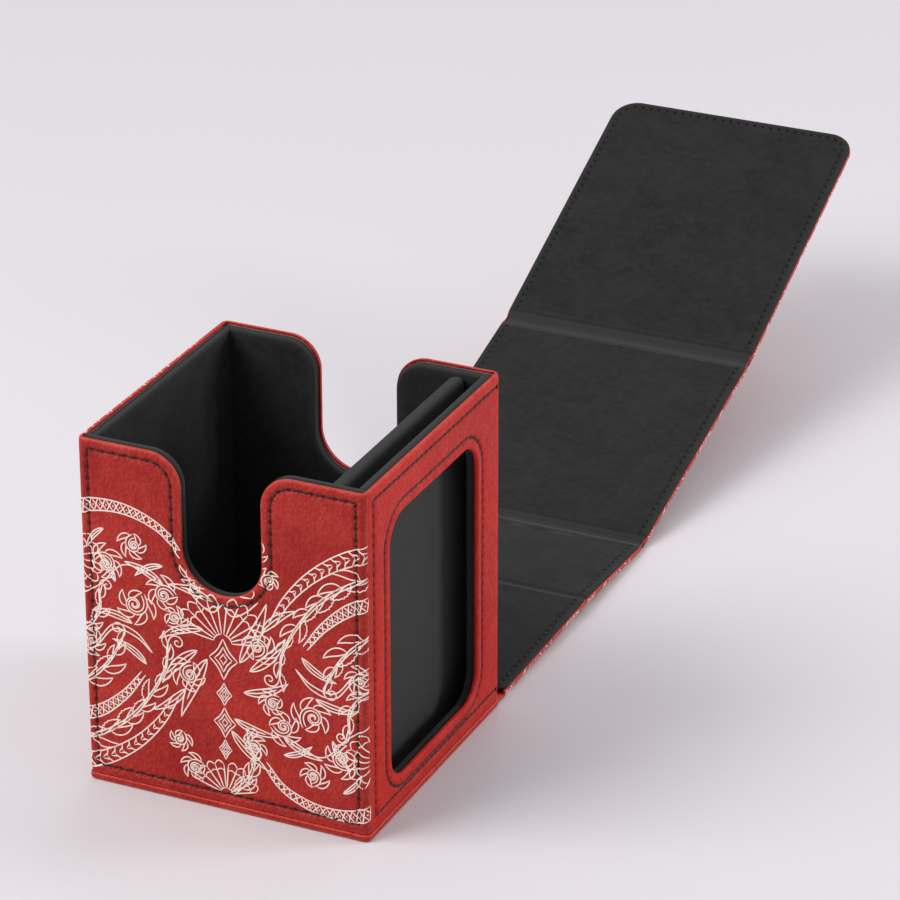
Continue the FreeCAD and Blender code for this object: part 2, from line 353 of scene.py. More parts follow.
def mesh_object(name, points, faces, values=None, sharp=50):
    """A mesh object from points in millimetres, with its faces turned outwards. values are kept as
    attributes, and edges sharper than sharp degrees stay sharp."""
    mesh = bpy.data.meshes.new(name)
    mesh.from_pydata((np.asarray(points) * MM).tolist(), [], [list(map(int, face)) for face in faces])
    for key, value in (values or {}).items():
        attribute = mesh.attributes.new(key, "FLOAT", "POINT")
        attribute.data.foreach_set("value", np.asarray(value, np.float32))
    shape = bmesh.new()
    shape.from_mesh(mesh)
    bmesh.ops.recalc_face_normals(shape, faces=shape.faces)
    if shape.calc_volume(signed=True) < 0:
        bmesh.ops.reverse_faces(shape, faces=shape.faces)
    shape.to_mesh(mesh)
    shape.free()
    mesh.shade_smooth()
    mesh.set_sharp_from_angle(angle=math.radians(sharp))
    piece = bpy.data.objects.new(name, mesh)
    bpy.context.scene.collection.objects.link(piece)
    return piece


def make_shell(name, loops, lines, spots, top, under, place, rim=(), under_lines=(), values=None):
    """A closed shell. place(points, heights) puts it: top and under give the heights of its two faces,
    and rim is a list of (how far inwards, height) steps down its border, from top to under."""
    loops = with_crossings(loops, list(lines) + list(under_lines))
    upper, upper_faces, upper_chains = fill(loops, lines, spots)
    points = [place(upper, top(upper))]
    faces = upper_faces.tolist()
    total = len(upper)
    chains = upper_chains
    normals = [inward(loop, k > 0) for k, loop in enumerate(loops)]
    for shift, height in rim:
        rings = []
        for loop, normal in zip(loops, normals):
            ring = loop + normal * shift
            points.append(place(ring, np.full(len(ring), height)))
            rings.append(np.arange(total, total + len(ring)))
            total += len(ring)
        faces += bridge(chains, rings)
        chains = rings
    last = rim[-1][0] if rim else 0.0
    low_loops = [loop + normal * last for loop, normal in zip(loops, normals)]
    lower, lower_faces, lower_chains = fill(low_loops, under_lines, ())
    points.append(place(lower, under(lower)))
    faces += bridge(chains, [chain + total for chain in lower_chains])
    faces += (lower_faces[:, ::-1] + total).tolist()
    total += len(lower)
    everywhere = {}
    for key, value in (values(upper) if values else {}).items():
        everywhere[key] = np.zeros(total)
        everywhere[key][:len(upper)] = value
    return mesh_object(name, np.vstack(points), faces, everywhere)


def level(height):
    """A flat face at that height."""
    return lambda points: np.full(len(points), height)


def bridge(chains, rings):
    """Faces between two sets of matching closed chains."""
    faces = []
    for chain, ring in zip(chains, rings):
        count = len(chain)
        faces += [[chain[k], ring[k], ring[(k + 1) % count], chain[(k + 1) % count]] for k in range(count)]
    return faces


# ---------------------------------------------------------------- materials

def link(tree, value, socket):
    """Joins a node's output to the socket, or sets the socket to a plain value."""
    if isinstance(value, bpy.types.NodeSocket):
        tree.links.new(value, socket)
    else:
        socket.default_value = value


def add(tree, kind, sockets=None, out=0, **settings):
    """Adds a node with those settings and sockets, and returns one of its outputs."""
    made = tree.nodes.new(kind)
    for key, value in settings.items():
        setattr(made, key, value)
    for key, value in (sockets or {}).items():
        link(tree, value, made.inputs[key])
    return made.outputs[out]


def calculate(tree, operation, a, b=0.0, c=0.0):
    return add(tree, "ShaderNodeMath", {0: a, 1: b, 2: c}, operation=operation)


def spread(tree, value, low, high, to_low=0.0, to_high=1.0):
    """Maps low..high to to_low..to_high, clamped."""
    sockets = {0: value, 1: low, 2: high, 3: to_low, 4: to_high}
    return add(tree, "ShaderNodeMapRange", sockets)


def mixed(tree, share, first, second, blend="MIX"):
    """Colour between two colours, by share."""
    made = tree.nodes.new("ShaderNodeMix")
    made.data_type = "RGBA"
    made.blend_type = blend
    for value, socket in ((share, made.inputs[0]), (first, made.inputs[6]), (second, made.inputs[7])):
        link(tree, value, socket)
    return made.outputs[2]


def noise(tree, where, scale, detail=2.0, rough=0.5, warp=0.0):
    """Value noise at scale, which is in repeats a millimetre."""
    sockets = {"Vector": where, "Scale": scale / MM, "Detail": detail, "Roughness": rough, "Distortion": warp}
    return add(tree, "ShaderNodeTexNoise", sockets)


def pebbles(tree, where, scale, feature="F1", smoothness=0.6):
    made = tree.nodes.new("ShaderNodeTexVoronoi")
    made.feature = feature
    link(tree, where, made.inputs["Vector"])
    made.inputs["Scale"].default_value = scale / MM
    if feature == "SMOOTH_F1":
        made.inputs["Smoothness"].default_value = smoothness
    return made.outputs["Distance"]


def bumped(tree, height, strength, distance, normal=None):
    sockets = {"Height": height, "Strength": strength, "Distance": distance * MM}
    if normal is not None:
        sockets["Normal"] = normal
    return add(tree, "ShaderNodeBump", sockets)


def attribute(tree, name):
    return add(tree, "ShaderNodeAttribute", out=2, attribute_name=name)


def start_material(name):
    """A new material: its tree, its shader's inputs and Object coordinates."""
    material = bpy.data.materials.new(name)
    material.use_nodes = True
    tree = material.node_tree
    shader = tree.nodes["Principled BSDF"]
    where = add(tree, "ShaderNodeTexCoord", out=3)
    return material, tree, shader, where


def set_finish(tree, shader, tone, rough, normal):
    """Gives a shader its colour, roughness and bump."""
    for value, socket in ((tone, "Base Color"), (rough, "Roughness"), (normal, "Normal")):
        link(tree, value, shader.inputs[socket])


def share_of(tree, value, share):
    return calculate(tree, "MULTIPLY", value, share)


def leather_material(name, colour, shade, pale, grain, gloss):
    """Coated leather: pebbled grain, cloudy colour, darker valleys, painted shade in the needle holes, paler worn
    edges.
    """
    material, tree, shader, where = start_material(name)
    bend = noise(tree, where, 0.9, 2.0)
    drift = add(tree, "ShaderNodeTexNoise", {"Vector": where, "Scale": 0.9 / MM, "Detail": 1.0}, out=1)
    drift = add(tree, "ShaderNodeVectorMath", {0: drift, 3: 0.35 * MM}, operation="SCALE")
    bent = add(tree, "ShaderNodeVectorMath", {0: where, 1: drift}, operation="ADD")
    cells = pebbles(tree, bent, 0.95, "SMOOTH_F1", 0.45)
    small = pebbles(tree, bent, 2.1, "SMOOTH_F1", 0.4)
    pores = noise(tree, where, 5.0, 3.0, 0.6)
    clouds = noise(tree, where, 0.045, 4.0, 0.55, 0.3)
    smudge = noise(tree, where, 0.25, 3.0, 0.6)
    pebble = spread(tree, cells, 0.1, 0.75)
    tone = mixed(tree, spread(tree, clouds, 0.3, 0.72), shade, colour)
    tone = mixed(tree, share_of(tree, spread(tree, smudge, 0.45, 0.8), 0.25), tone, pale)
    valley = share_of(tree, pebble, 0.38 * grain)
    tone = mixed(tree, valley, tone, tuple(0.45 * c for c in shade[:3]) + (1,))
    worn = calculate(tree, "MULTIPLY", attribute(tree, "wear"), spread(tree, smudge, 0.25, 0.7, 0.25, 0.75))
    tone = mixed(tree, worn, tone, pale)
    # Painted shade: the needle holes are painted near black.
    seam = spread(tree, attribute(tree, "seam"), 0.0, 1.0, 0.0, 0.93)
    tone = mixed(tree, seam, tone, (0.018, 0.004, 0.004, 1))
    rough = spread(tree, pebble, 0.0, 1.0, gloss, gloss + 0.16)
    rough = calculate(tree, "ADD", rough, spread(tree, bend, 0.3, 0.7, -0.03, 0.05))
    shader.inputs["Specular IOR Level"].default_value = 0.12 + 0.14 * grain
    height = calculate(tree, "SUBTRACT", 1.0, calculate(tree, "ADD", pebble, share_of(tree, small, 0.4)))
    normal = bumped(tree, height, min(1.0, 0.85 * grain), 0.26)
    normal = bumped(tree, smudge, 0.35, 0.35, normal)
    set_finish(tree, shader, tone, rough, bumped(tree, pores, 0.16, 0.05, normal))
    return material


def nap_material(name, colour, pale, deep, sheen):
    """Brushed microfibre: short nap brushed in patches, paler where asked (a painted highlight along the rims,
    painted light over the divider), with painted shade in the needle holes and seam grooves.
    """
    material, tree, shader, where = start_material(name)
    patches = noise(tree, where, 0.07, 4.0, 0.6, 0.6)
    strokes = noise(tree, add(tree, "ShaderNodeMapping", {
        "Vector": where, "Rotation": (0.2, 0.3, 0.5), "Scale": (0.65, 1.0, 0.85)}), 0.5, 4.0, 0.65, 0.4)
    fibre = noise(tree, where, 6.0, 3.0, 0.7)
    tone = mixed(tree, spread(tree, patches, 0.34, 0.68), deep, colour)
    tone = mixed(tree, share_of(tree, spread(tree, strokes, 0.42, 0.72), 0.45), tone, pale)
    tone = mixed(tree, share_of(tree, spread(tree, fibre, 0.4, 0.75), 0.35), tone, pale)
    # Paler where asked: painted light, such as the highlight along the lining rims and over the whole divider, and
    # wear.
    tone = mixed(tree, share_of(tree, attribute(tree, "wear"), 0.95), tone, pale)
    # Painted shade: the needle holes and seam grooves are painted near black.
    seam = spread(tree, attribute(tree, "seam"), 0.0, 1.0, 0.0, 0.9)
    tone = mixed(tree, seam, tone, (0.002, 0.002, 0.002, 1))
    shader.inputs["Specular IOR Level"].default_value = 0.2
    shader.inputs["Sheen Weight"].default_value = sheen
    shader.inputs["Sheen Roughness"].default_value = 0.45
    shader.inputs["Sheen Tint"].default_value = (0.75, 0.8, 0.82, 1)
    normal = bumped(tree, strokes, 0.22, 0.12)
    normal = bumped(tree, fibre, 0.45, 0.06, normal)
    set_finish(tree, shader, tone, spread(tree, strokes, 0.3, 0.7, 0.86, 0.98), normal)
    return material


def thread_material(name, deep, colour):
    """Twisted sewing thread with a little lint on it."""
    material, tree, shader, where = start_material(name)
    ply = add(tree, "ShaderNodeTexWave", {
        "Vector": where, "Scale": 2.6 / MM, "Distortion": 2.0, "Detail": 2.0}, out=1, bands_direction="DIAGONAL")
    lint = noise(tree, where, 2.5, 3.0, 0.7)
    tone = mixed(tree, ply, deep, colour)
    paler = tuple(2 * c for c in colour[:3]) + (1,)
    tone = mixed(tree, share_of(tree, spread(tree, lint, 0.5, 0.8), 0.3), tone, paler)
    set_finish(tree, shader, tone, spread(tree, lint, 0.3, 0.7, 0.55, 0.75), bumped(tree, ply, 0.5, 0.06))
    return material


def ink_material():
    """Cream ink: slightly uneven, thin where the grain stands up."""
    material, tree, shader, where = start_material("cream_ink")
    cells = pebbles(tree, where, 1.15, "SMOOTH_F1", 0.5)
    patches = noise(tree, where, 0.3, 4.0, 0.6)
    tone = mixed(tree, spread(tree, patches, 0.3, 0.7), (0.80, 0.66, 0.57, 1), (0.93, 0.84, 0.76, 1))
    tone = mixed(tree, share_of(tree, spread(tree, cells, 0.5, 0.9), 0.25), tone, (0.55, 0.30, 0.26, 1))
    set_finish(tree, shader, tone, spread(tree, patches, 0.3, 0.7, 0.42, 0.56), bumped(tree, cells, 0.3, 0.06))
    return material


def board_material():
    """Pressed grey board: matted fibres and flecks."""
    material, tree, shader, where = start_material("grey_board")
    stretched = add(tree, "ShaderNodeMapping", {"Vector": where, "Scale": (1.0, 0.3, 1.0)})
    fibre = noise(tree, stretched, 1.2, 5.0, 0.7)
    fleck = pebbles(tree, where, 0.8, "F1")
    tone = mixed(tree, spread(tree, fibre, 0.3, 0.7), (0.26, 0.24, 0.21, 1), (0.42, 0.39, 0.35, 1))
    tone = mixed(tree, spread(tree, fleck, 0.08, 0.14, 0.5, 0.0), tone, (0.12, 0.10, 0.09, 1))
    set_finish(tree, shader, tone, spread(tree, fibre, 0.3, 0.7, 0.8, 0.95), bumped(tree, fibre, 0.4, 0.1))
    return material


def magnet_material():
    """Nickel plating with fine turning marks and scuffs."""
    material, tree, shader, where = start_material("nickel_plating")
    stretched = add(tree, "ShaderNodeMapping", {"Vector": where, "Scale": (1.0, 0.06, 1.0)})
    marks = noise(tree, stretched, 6.0, 3.0, 0.6)
    scuffs = noise(tree, where, 0.6, 4.0, 0.7)
    tone = mixed(tree, spread(tree, scuffs, 0.4, 0.7), (0.62, 0.61, 0.60, 1), (0.78, 0.77, 0.75, 1))
    shader.inputs["Metallic"].default_value = 1.0
    set_finish(tree, shader, tone, spread(tree, marks, 0.3, 0.7, 0.22, 0.42), bumped(tree, marks, 0.15, 0.02))
    return material


def paper_floor_material(colour):
    """Smooth studio paper with the faintest unevenness."""
    material, tree, shader, where = start_material("studio_paper")
    clouds = noise(tree, where, 0.004, 2.0)
    darker = tuple(0.985 * c for c in colour) + (1,)
    tone = mixed(tree, spread(tree, clouds, 0.3, 0.7), darker, tuple(colour) + (1,))
    tooth = bumped(tree, noise(tree, where, 2.0, 2.0), 0.02, 0.05)
    set_finish(tree, shader, tone, spread(tree, clouds, 0.3, 0.7, 0.85, 0.92), tooth)
    return material


RED = (0.49, 0.026, 0.0155, 1)
RED_SHADE = (0.34, 0.007, 0.004, 1)
RED_PALE = (0.62, 0.075, 0.050, 1)
WINDOW_RED = (0.485, 0.012, 0.004, 1)
WINDOW_RED_SHADE = (0.38, 0.006, 0.003, 1)

materials = {
    "leather": leather_material("pebbled_leather", RED, RED_SHADE, RED_PALE, 1.0, 0.40),
    "smooth_leather": leather_material("smooth_leather", WINDOW_RED, WINDOW_RED_SHADE, RED_PALE, 0.35, 0.42),
    "lining": nap_material("brushed_lining", (0.0155, 0.0155, 0.0155, 1), (0.034, 0.035, 0.035, 1),
                           (0.0085, 0.0085, 0.0085, 1), 0.05),
    "thread": thread_material("black_thread", (0.003, 0.0025, 0.0025, 1), (0.014, 0.012, 0.012, 1)),
    "red_thread": thread_material("dark_red_thread", (0.020, 0.002, 0.002, 1), (0.085, 0.009, 0.007, 1)),
    "dark_thread": thread_material("near_black_red_thread", (0.007, 0.002, 0.002, 1), (0.026, 0.005, 0.004, 1)),
    "ink": ink_material(),
    "board": board_material(),
    "magnet": magnet_material(),
}


def finish(piece, body, slot, material, *nodes):
    """Gives a piece its material and its body, and hides the CAD nodes that it stands for. slot is not used."""
    piece.data.materials.clear()
    piece.data.materials.append(materials[material])
    if body:
        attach(piece, body)
    if nodes:
        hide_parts(*nodes)
    return piece


# ---------------------------------------------------------------- stitches

def stitch_tree():
    """Geometry nodes that put one arched stitch on each vertex, turned along the seam."""
    tree = bpy.data.node_groups.new("stitch_row", "GeometryNodeTree")
    face = tree.interface
    face.new_socket("Geometry", in_out="INPUT", socket_type="NodeSocketGeometry")
    for name, kind in (("Stitch length", "Float"), ("Thread width", "Float"), ("Rise", "Float"),
                       ("Lean", "Float"), ("Seed", "Int"), ("Thread", "Material")):
        face.new_socket(name, in_out="INPUT", socket_type="NodeSocket" + kind)
    face.new_socket("Geometry", in_out="OUTPUT", socket_type="NodeSocketGeometry")
    given = tree.nodes.new("NodeGroupInput").outputs

    def maths(operation, a, b=0.0):
        return add(tree, "ShaderNodeMath", {0: a, 1: b}, operation=operation)

    half = maths("MULTIPLY", given["Stitch length"], 0.5)
    sunk = maths("MULTIPLY", given["Thread width"], -0.7)
    start = add(tree, "ShaderNodeCombineXYZ", {0: maths("MULTIPLY", half, -1.0), 2: sunk})
    middle = add(tree, "ShaderNodeCombineXYZ", {2: given["Rise"]})
    end = add(tree, "ShaderNodeCombineXYZ", {0: half, 2: sunk})
    arch = add(tree, "GeometryNodeCurveQuadraticBezier", {
        "Resolution": 6, "Start": start, "Middle": middle, "End": end})
    thick = maths("MULTIPLY", given["Thread width"], 0.5)
    round_section = add(tree, "GeometryNodeCurvePrimitiveCircle", {"Resolution": 7, "Radius": thick})
    stitch = add(tree, "GeometryNodeCurveToMesh", {
        "Curve": arch, "Profile Curve": round_section, "Fill Caps": True})
    along = add(tree, "GeometryNodeInputNamedAttribute", {"Name": "along"}, data_type="FLOAT_VECTOR")
    outward = add(tree, "GeometryNodeInputNamedAttribute", {"Name": "outward"}, data_type="FLOAT_VECTOR")
    facing = add(tree, "FunctionNodeAxesToRotation", {"Primary Axis": along, "Secondary Axis": outward},
                 primary_axis="X", secondary_axis="Z")
    low = add(tree, "ShaderNodeCombineXYZ", {2: maths("MULTIPLY", given["Lean"], -1.0)})
    high = add(tree, "ShaderNodeCombineXYZ", {2: given["Lean"]})
    lean = tree.nodes.new("FunctionNodeRandomValue")
    lean.data_type = "FLOAT_VECTOR"
    link(tree, low, lean.inputs[0])
    link(tree, high, lean.inputs[1])
    link(tree, given["Seed"], lean.inputs["Seed"])
    turned = tree.nodes.new("FunctionNodeRotateRotation")
    turned.rotation_space = "LOCAL"
    link(tree, facing, turned.inputs[0])
    link(tree, lean.outputs[0], turned.inputs[1])
    placed = add(tree, "GeometryNodeInstanceOnPoints", {
        "Points": given["Geometry"], "Instance": stitch, "Rotation": turned.outputs[0]})
    real = add(tree, "GeometryNodeRealizeInstances", {"Geometry": placed})
    real = add(tree, "GeometryNodeSetShadeSmooth", {"Geometry": real})
    real = add(tree, "GeometryNodeSetMaterial", {"Geometry": real, "Material": given["Thread"]})
    link(tree, real, tree.nodes.new("NodeGroupOutput").inputs[0])
    return tree


STITCHES = stitch_tree()
# A group of stitches: its body, its thread, a stitch's length as a share of the pitch, and its width
STITCH_KINDS = {"box": ("box", "dark_thread", 0.46, 0.70), "window": ("box", "red_thread", 0.78, 0.56)}
FLAP_STITCH = ("thread", 0.74, 0.56)
stitch_rows = {}


def sew(group, nodes, line, closed, pitch, place, height, slant=0.0):
    """Notes a row of stitches along a line on a sheet, to be made with the rest of its group."""
    length = path_length(line, closed)
    count = max(1, round(length / pitch))
    places = (np.arange(count) + 0.5) * length / count
    centres, along = points_along(line, places, closed)
    level = np.full(len(centres), height)
    here = place(centres, level)
    across = np.column_stack([-along[:, 1], along[:, 0]])
    ahead = place(centres + (along + across * slant) * 0.1, level)
    above = place(centres, level + 0.1)
    empty = {"points": [], "along": [], "outward": [], "nodes": [], "pitch": pitch}
    row = stitch_rows.setdefault(group, empty)
    row["points"].append(here)
    row["along"].append(ahead - here)
    row["outward"].append(above - here)
    row["nodes"].extend(nodes)


def make_stitches():
    """Turns each group's noted rows into one plain mesh of stitches."""
    for seed, (group, row) in enumerate(stitch_rows.items()):
        body, kind, share, width = STITCH_KINDS.get(group, (group, *FLAP_STITCH))
        points = np.vstack(row["points"])
        mesh = bpy.data.meshes.new(group + "_stitches")
        mesh.from_pydata((points * MM).tolist(), [], [])
        for key in ("along", "outward"):
            made = mesh.attributes.new(key, "FLOAT_VECTOR", "POINT")
            made.data.foreach_set("vector", np.vstack(row[key]).ravel().astype(np.float32))
        holder = bpy.data.objects.new(group + "_holder", mesh)
        bpy.context.scene.collection.objects.link(holder)
        modifier = holder.modifiers.new("stitches", "NODES")
        modifier.node_group = STITCHES
        sizes = {"Stitch length": row["pitch"] * share * MM, "Thread width": width * MM, "Rise": STITCH_RISE * MM,
                 "Lean": STITCH_LEAN, "Seed": seed, "Thread": materials[kind]}
        for item in STITCHES.interface.items_tree:
            if item.in_out == "INPUT" and item.name in sizes:
                modifier[item.identifier] = sizes[item.name]
        evaluated = holder.evaluated_get(bpy.context.evaluated_depsgraph_get())
        result = bpy.data.meshes.new_from_object(evaluated)
        result.name = group + "_stitches"
        for key in [a.name for a in result.attributes if a.name in ("along", "outward")]:
            result.attributes.remove(result.attributes[key])
        holder.modifiers.clear()
        bpy.data.objects.remove(holder)
        piece = bpy.data.objects.new(group + "_stitches", result)
        bpy.context.scene.collection.objects.link(piece)
        finish(piece, body, "thread", kind, *row["nodes"])


# ---------------------------------------------------------------- printed ornament

def curve(points, step=0.8):
    """A smooth line through the points."""
    p = np.array(points, float)
    p = np.vstack([2 * p[0] - p[1], p, 2 * p[-1] - p[-2]])
    parts = []
    for a, b, c, d in zip(p, p[1:], p[2:], p[3:]):
        t = np.linspace(0, 1, max(3, math.ceil(np.linalg.norm(c - b) / step)), endpoint=False)[:, None]
        bend = (2 * a - 5 * b + 4 * c - d) * t ** 2 + (3 * b - a - 3 * c + d) * t ** 3
        parts.append(0.5 * (2 * b + (c - a) * t + bend))
    return np.vstack(parts + [p[-2:-1]])


def beside(line, offset):
    """The line moved sideways by offset, which may change along it."""
    along = np.gradient(line, axis=0)
    along /= np.maximum(np.linalg.norm(along, axis=1), 1e-9)[:, None]
    return line + np.column_stack([-along[:, 1], along[:, 0]]) * np.reshape(offset, (-1, 1))


def leaf(base, angle, length, width, bend, teeth=0):
    """A pointed leaf: two edges, the outer one toothed if asked, and a rib."""
    t = np.linspace(0, 1, 15)
    heading = angle + bend * t
    axis = np.array(base) + length * np.column_stack([t * np.cos(heading), t * np.sin(heading)])
    swell = width * np.sin(math.pi * t ** 0.75)
    cuts = 1 - 0.45 * (np.arange(15) % 2) * (t > 0.2) * (t < 0.95) if teeth else 1
    return [beside(axis, swell * cuts), beside(axis, -swell), axis[:11]]


def curl(base, angle, radius, turns, hand):
    """A tendril that winds in on itself."""
    t = np.linspace(0, 1, max(14, round(16 * turns)))
    heading = angle + hand * 2 * math.pi * turns * t ** 1.15
    steps = radius * (1 - 0.82 * t) * 2 * math.pi * turns / len(t)
    path = np.cumsum(np.column_stack([np.cos(heading), np.sin(heading)]) * steps[:, None], axis=0)
    return np.array(base) + np.vstack([[0, 0], path])


def bough(points, size, draw):
    """A double stem with long leaves on both sides, ending in a curl."""
    stem = curve(points)
    length = path_length(stem, False)
    lines = [stem, beside(stem, np.linspace(1.1, 0.3, len(stem)))]
    side = 1
    for place in np.arange(size * 0.25, length - size * 0.2, size * 0.42):
        spot, ahead = points_along(stem, np.array([place]), False)
        heading = math.atan2(ahead[0, 1], ahead[0, 0]) + side * draw.uniform(0.55, 0.95)
        grown = size * (1.15 - 0.5 * place / length) * draw.uniform(0.8, 1.15)
        lines += leaf(spot[0], heading, grown, grown * 0.15, -side * 0.5, side > 0)[:2]
        side = -side
    ahead = stem[-1] - stem[-2]
    lines.append(curl(stem[-1], math.atan2(ahead[1], ahead[0]), size * 0.3, 1.5, draw.choice((-1, 1))))
    return lines


def shell(base, first, last, reach, count):
    """A palmette: ribs that spread from one point, with rounded lobes between their tips."""
    base = np.array(base, float)
    angles = np.linspace(first, last, count)
    lines = []
    for share, bulge in ((1.0, 1.14), (0.8, 1.08)):
        for a, b in zip(angles, angles[1:]):
            turn = np.linspace(a, b, 9)
            swell = reach * share * (1 + (bulge - 1) * np.sin(math.pi * np.linspace(0, 1, 9)))
            lines.append(base + swell[:, None] * np.column_stack([np.cos(turn), np.sin(turn)]))
    for angle in angles:
        ahead = np.array((math.cos(angle), math.sin(angle)))
        lines.append(np.array([base + ahead * reach * 0.22, base + ahead * reach]))
    turn = np.linspace(first, last, 14)
    lines.append(base + reach * 0.22 * np.column_stack([np.cos(turn), np.sin(turn)]))
    return lines


def volute(base, angle, radius, hand, size):
    """A double scroll with leaves along its outside."""
    stem = curl(base, angle, radius, 1.75, hand)
    lines = [stem, beside(stem, hand * np.linspace(1.1, 0.2, len(stem)))]
    for k in range(1, len(stem) // 2, 3):
        ahead = stem[k + 1] - stem[k]
        heading = math.atan2(ahead[1], ahead[0]) - hand * 0.75
        lines += leaf(stem[k], heading, size * (1 - 0.6 * k / len(stem)), size * 0.15, hand * 0.6)[:2]
    return lines


LATTICE_STEP = 2.1


def along_band(points, width, step, shape):
    """A band between two edges that narrows to its end, filled with repeats of a shape (along, across)."""
    spine = curve(points)
    length = path_length(spine, False)
    wide = width * np.linspace(1.0, 0.35, len(spine))
    lines = [beside(spine, wide / 2), beside(spine, -wide / 2)]
    for place in np.arange(step, length - step, step):
        spot, ahead = points_along(spine, np.array([place]), False)
        side = np.array((-ahead[0, 1], ahead[0, 0]))
        here = width * (1 - 0.65 * place / length)
        for along, across in shape(here):
            lines.append(spot + np.outer(across, side) + np.outer(along, ahead[0]))
    return lines


def lattice(here):
    """A cross for a band, with a bead between it and the last one where the band is wide."""
    t = np.linspace(0, 2 * math.pi, 7)
    cross = [(np.array((0.0, LATTICE_STEP)), np.array((-0.5, 0.5)) * sign * here) for sign in (1, -1)]
    bead = [(0.3 * np.cos(t), 0.3 * np.sin(t))]
    return cross + (bead if here > 2.6 else [])


def chevrons(here):
    """A chevron of two strokes for a band."""
    strokes = (((-0.1, 0.35, 0.55), (0.04, 0.22, 0.5)), ((0.25, 0.45), (0.02, 0.42)))
    return [(np.array(along) * here, sign * np.array(across) * here)
            for along, across in strokes for sign in (-1, 1)]


def lozenge(middle, wide, tall):
    """Nested lozenges with hollow sides."""
    lines = []
    for share in (1.0, 0.62, 0.28):
        w, h = wide * share, tall * share
        corners = np.array([(0, h), (w, 0), (0, -h), (-w, 0), (0, h)])
        for a, b in zip(corners, corners[1:]):
            lines.append(np.array(middle) + curve([a, (a + b) * 0.42, b]))
    return lines


ORNAMENT_HALF = 45.0
ORNAMENT_HEIGHT = 91.0

# Loose leaves: base, length, angle and bend
LOOSE_LEAVES = (
    ((5, 46), 22, 1.05, 0.12), ((8, 44), 17, 0.60, 0.25), ((6, 37), 15, 0.05, 0.35), ((3, 28), 14, -0.5, 0.3),
    ((2, 24), 15, -0.95, 0.2), ((18, 26), 13, -0.7, 0.3), ((28, 40), 13, -0.5, 0.4), ((24, 52), 12, -0.9, 0.4),
    ((36, 12), 9, 0.5, 0.4), ((12, 57), 14, 1.0, -0.3), ((33, 28), 10, -1.3, 0.3), ((18, 20), 10, 0.1, 0.4))
# Lozenges on the middle line: height above the foot, half width and half height
LOZENGES = ((46, 4.4, 6.4), (35, 2.4, 3.6), (26, 3.4, 4.8), (17.5, 2.0, 3.2), (81, 3.2, 4.6), (88, 1.8, 2.8))
LONG_STEMS = (((47, 54), (40, 50), (34, 43), (27, 44), (22, 48)),
              ((47, 52.5), (40, 48.5), (34, 41.5), (27, 42.5), (22, 48)), ((47, 36), (38, 30), (30, 22), (20, 24)))


def wall_lines(half, low, high, seed):
    """Line work for a sheet: scrolls, boughs and bands that turn half round about its middle, like the back
    of a playing card, and palmettes and a chain of lozenges on its middle line."""
    draw = random.Random(seed)
    lines = []
    centred = []
    lines += along_band([(47, 88), (38, 85), (28, 78), (20, 69), (15, 60)], 5.0, 3.0, chevrons)
    lines += along_band([(47, 73), (39, 70), (31, 63), (25, 55)], 4.2, LATTICE_STEP, lattice)
    lines += along_band([(47, 8), (38, 5), (28, 5), (18, 9), (12, 16)], 4.4, LATTICE_STEP, lattice)
    lines += bough([(47, 81), (39, 78), (30, 71), (23, 62), (18, 52), (17, 44)], 8.0, draw)
    lines += bough([(47, 64), (41, 60), (35, 53), (31, 45)], 8.0, draw)
    lines += bough([(47, 45), (42, 44), (38, 38), (38, 31)], 7.0, draw)
    lines += volute((17, 38), 2.9, 2.6, 1, 4.5)
    lines += volute((6, 20), 1.2, 2.4, -1, 4.5)
    lines += bough([(2, 3), (7, 9), (9, 16), (7, 23)], 6.5, draw)
    lines += volute((10, 48), 0.3, 3.3, 1, 6.0)
    lines += volute((24, 30), 2.0, 3.8, -1, 6.5)
    lines += volute((14, 28), -0.9, 3.2, 1, 6.0)
    lines += volute((40, 22), -2.2, 3.4, -1, 6.0)
    lines += volute((27, 12), 0.5, 2.6, 1, 5.0)
    lines += volute((44, 50), 2.6, 2.4, 1, 5.0)
    centred += shell((0, 51), 0.15, 1.45, 13.0, 6)
    lines += shell((47, 23), 2.0, 4.2, 9.0, 7)
    centred += shell((0, 3), 0.3, 1.5, 9.5, 5)
    centred += shell((0, 66), 0.1, 1.5, 9.0, 5)
    lines += volute((7, 80), -0.6, 2.6, 1, 4.5)
    lines += volute((13, 71), 2.2, 2.2, -1, 4.0)
    for base, length, angle, bend in LOOSE_LEAVES:
        lines += leaf(base, angle, length, length * 0.08, bend)
    for height, wide, tall in LOZENGES:
        centred += [line for line in lozenge((0, height), wide, tall) if line[:, 0].mean() > 0]
    centred.append(curve([(0, 63), (3, 60), (7, 62), (11, 66)]))
    lines += [curve(points) for points in LONG_STEMS]
    lines += [np.array((0, ORNAMENT_HEIGHT)) - line for line in lines]
    lines += centred + [line * np.array((-1, 1)) for line in centred]
    size = np.array((half / ORNAMENT_HALF, (high - low) / ORNAMENT_HEIGHT))
    return [line * size + np.array((0, low)) for line in lines]


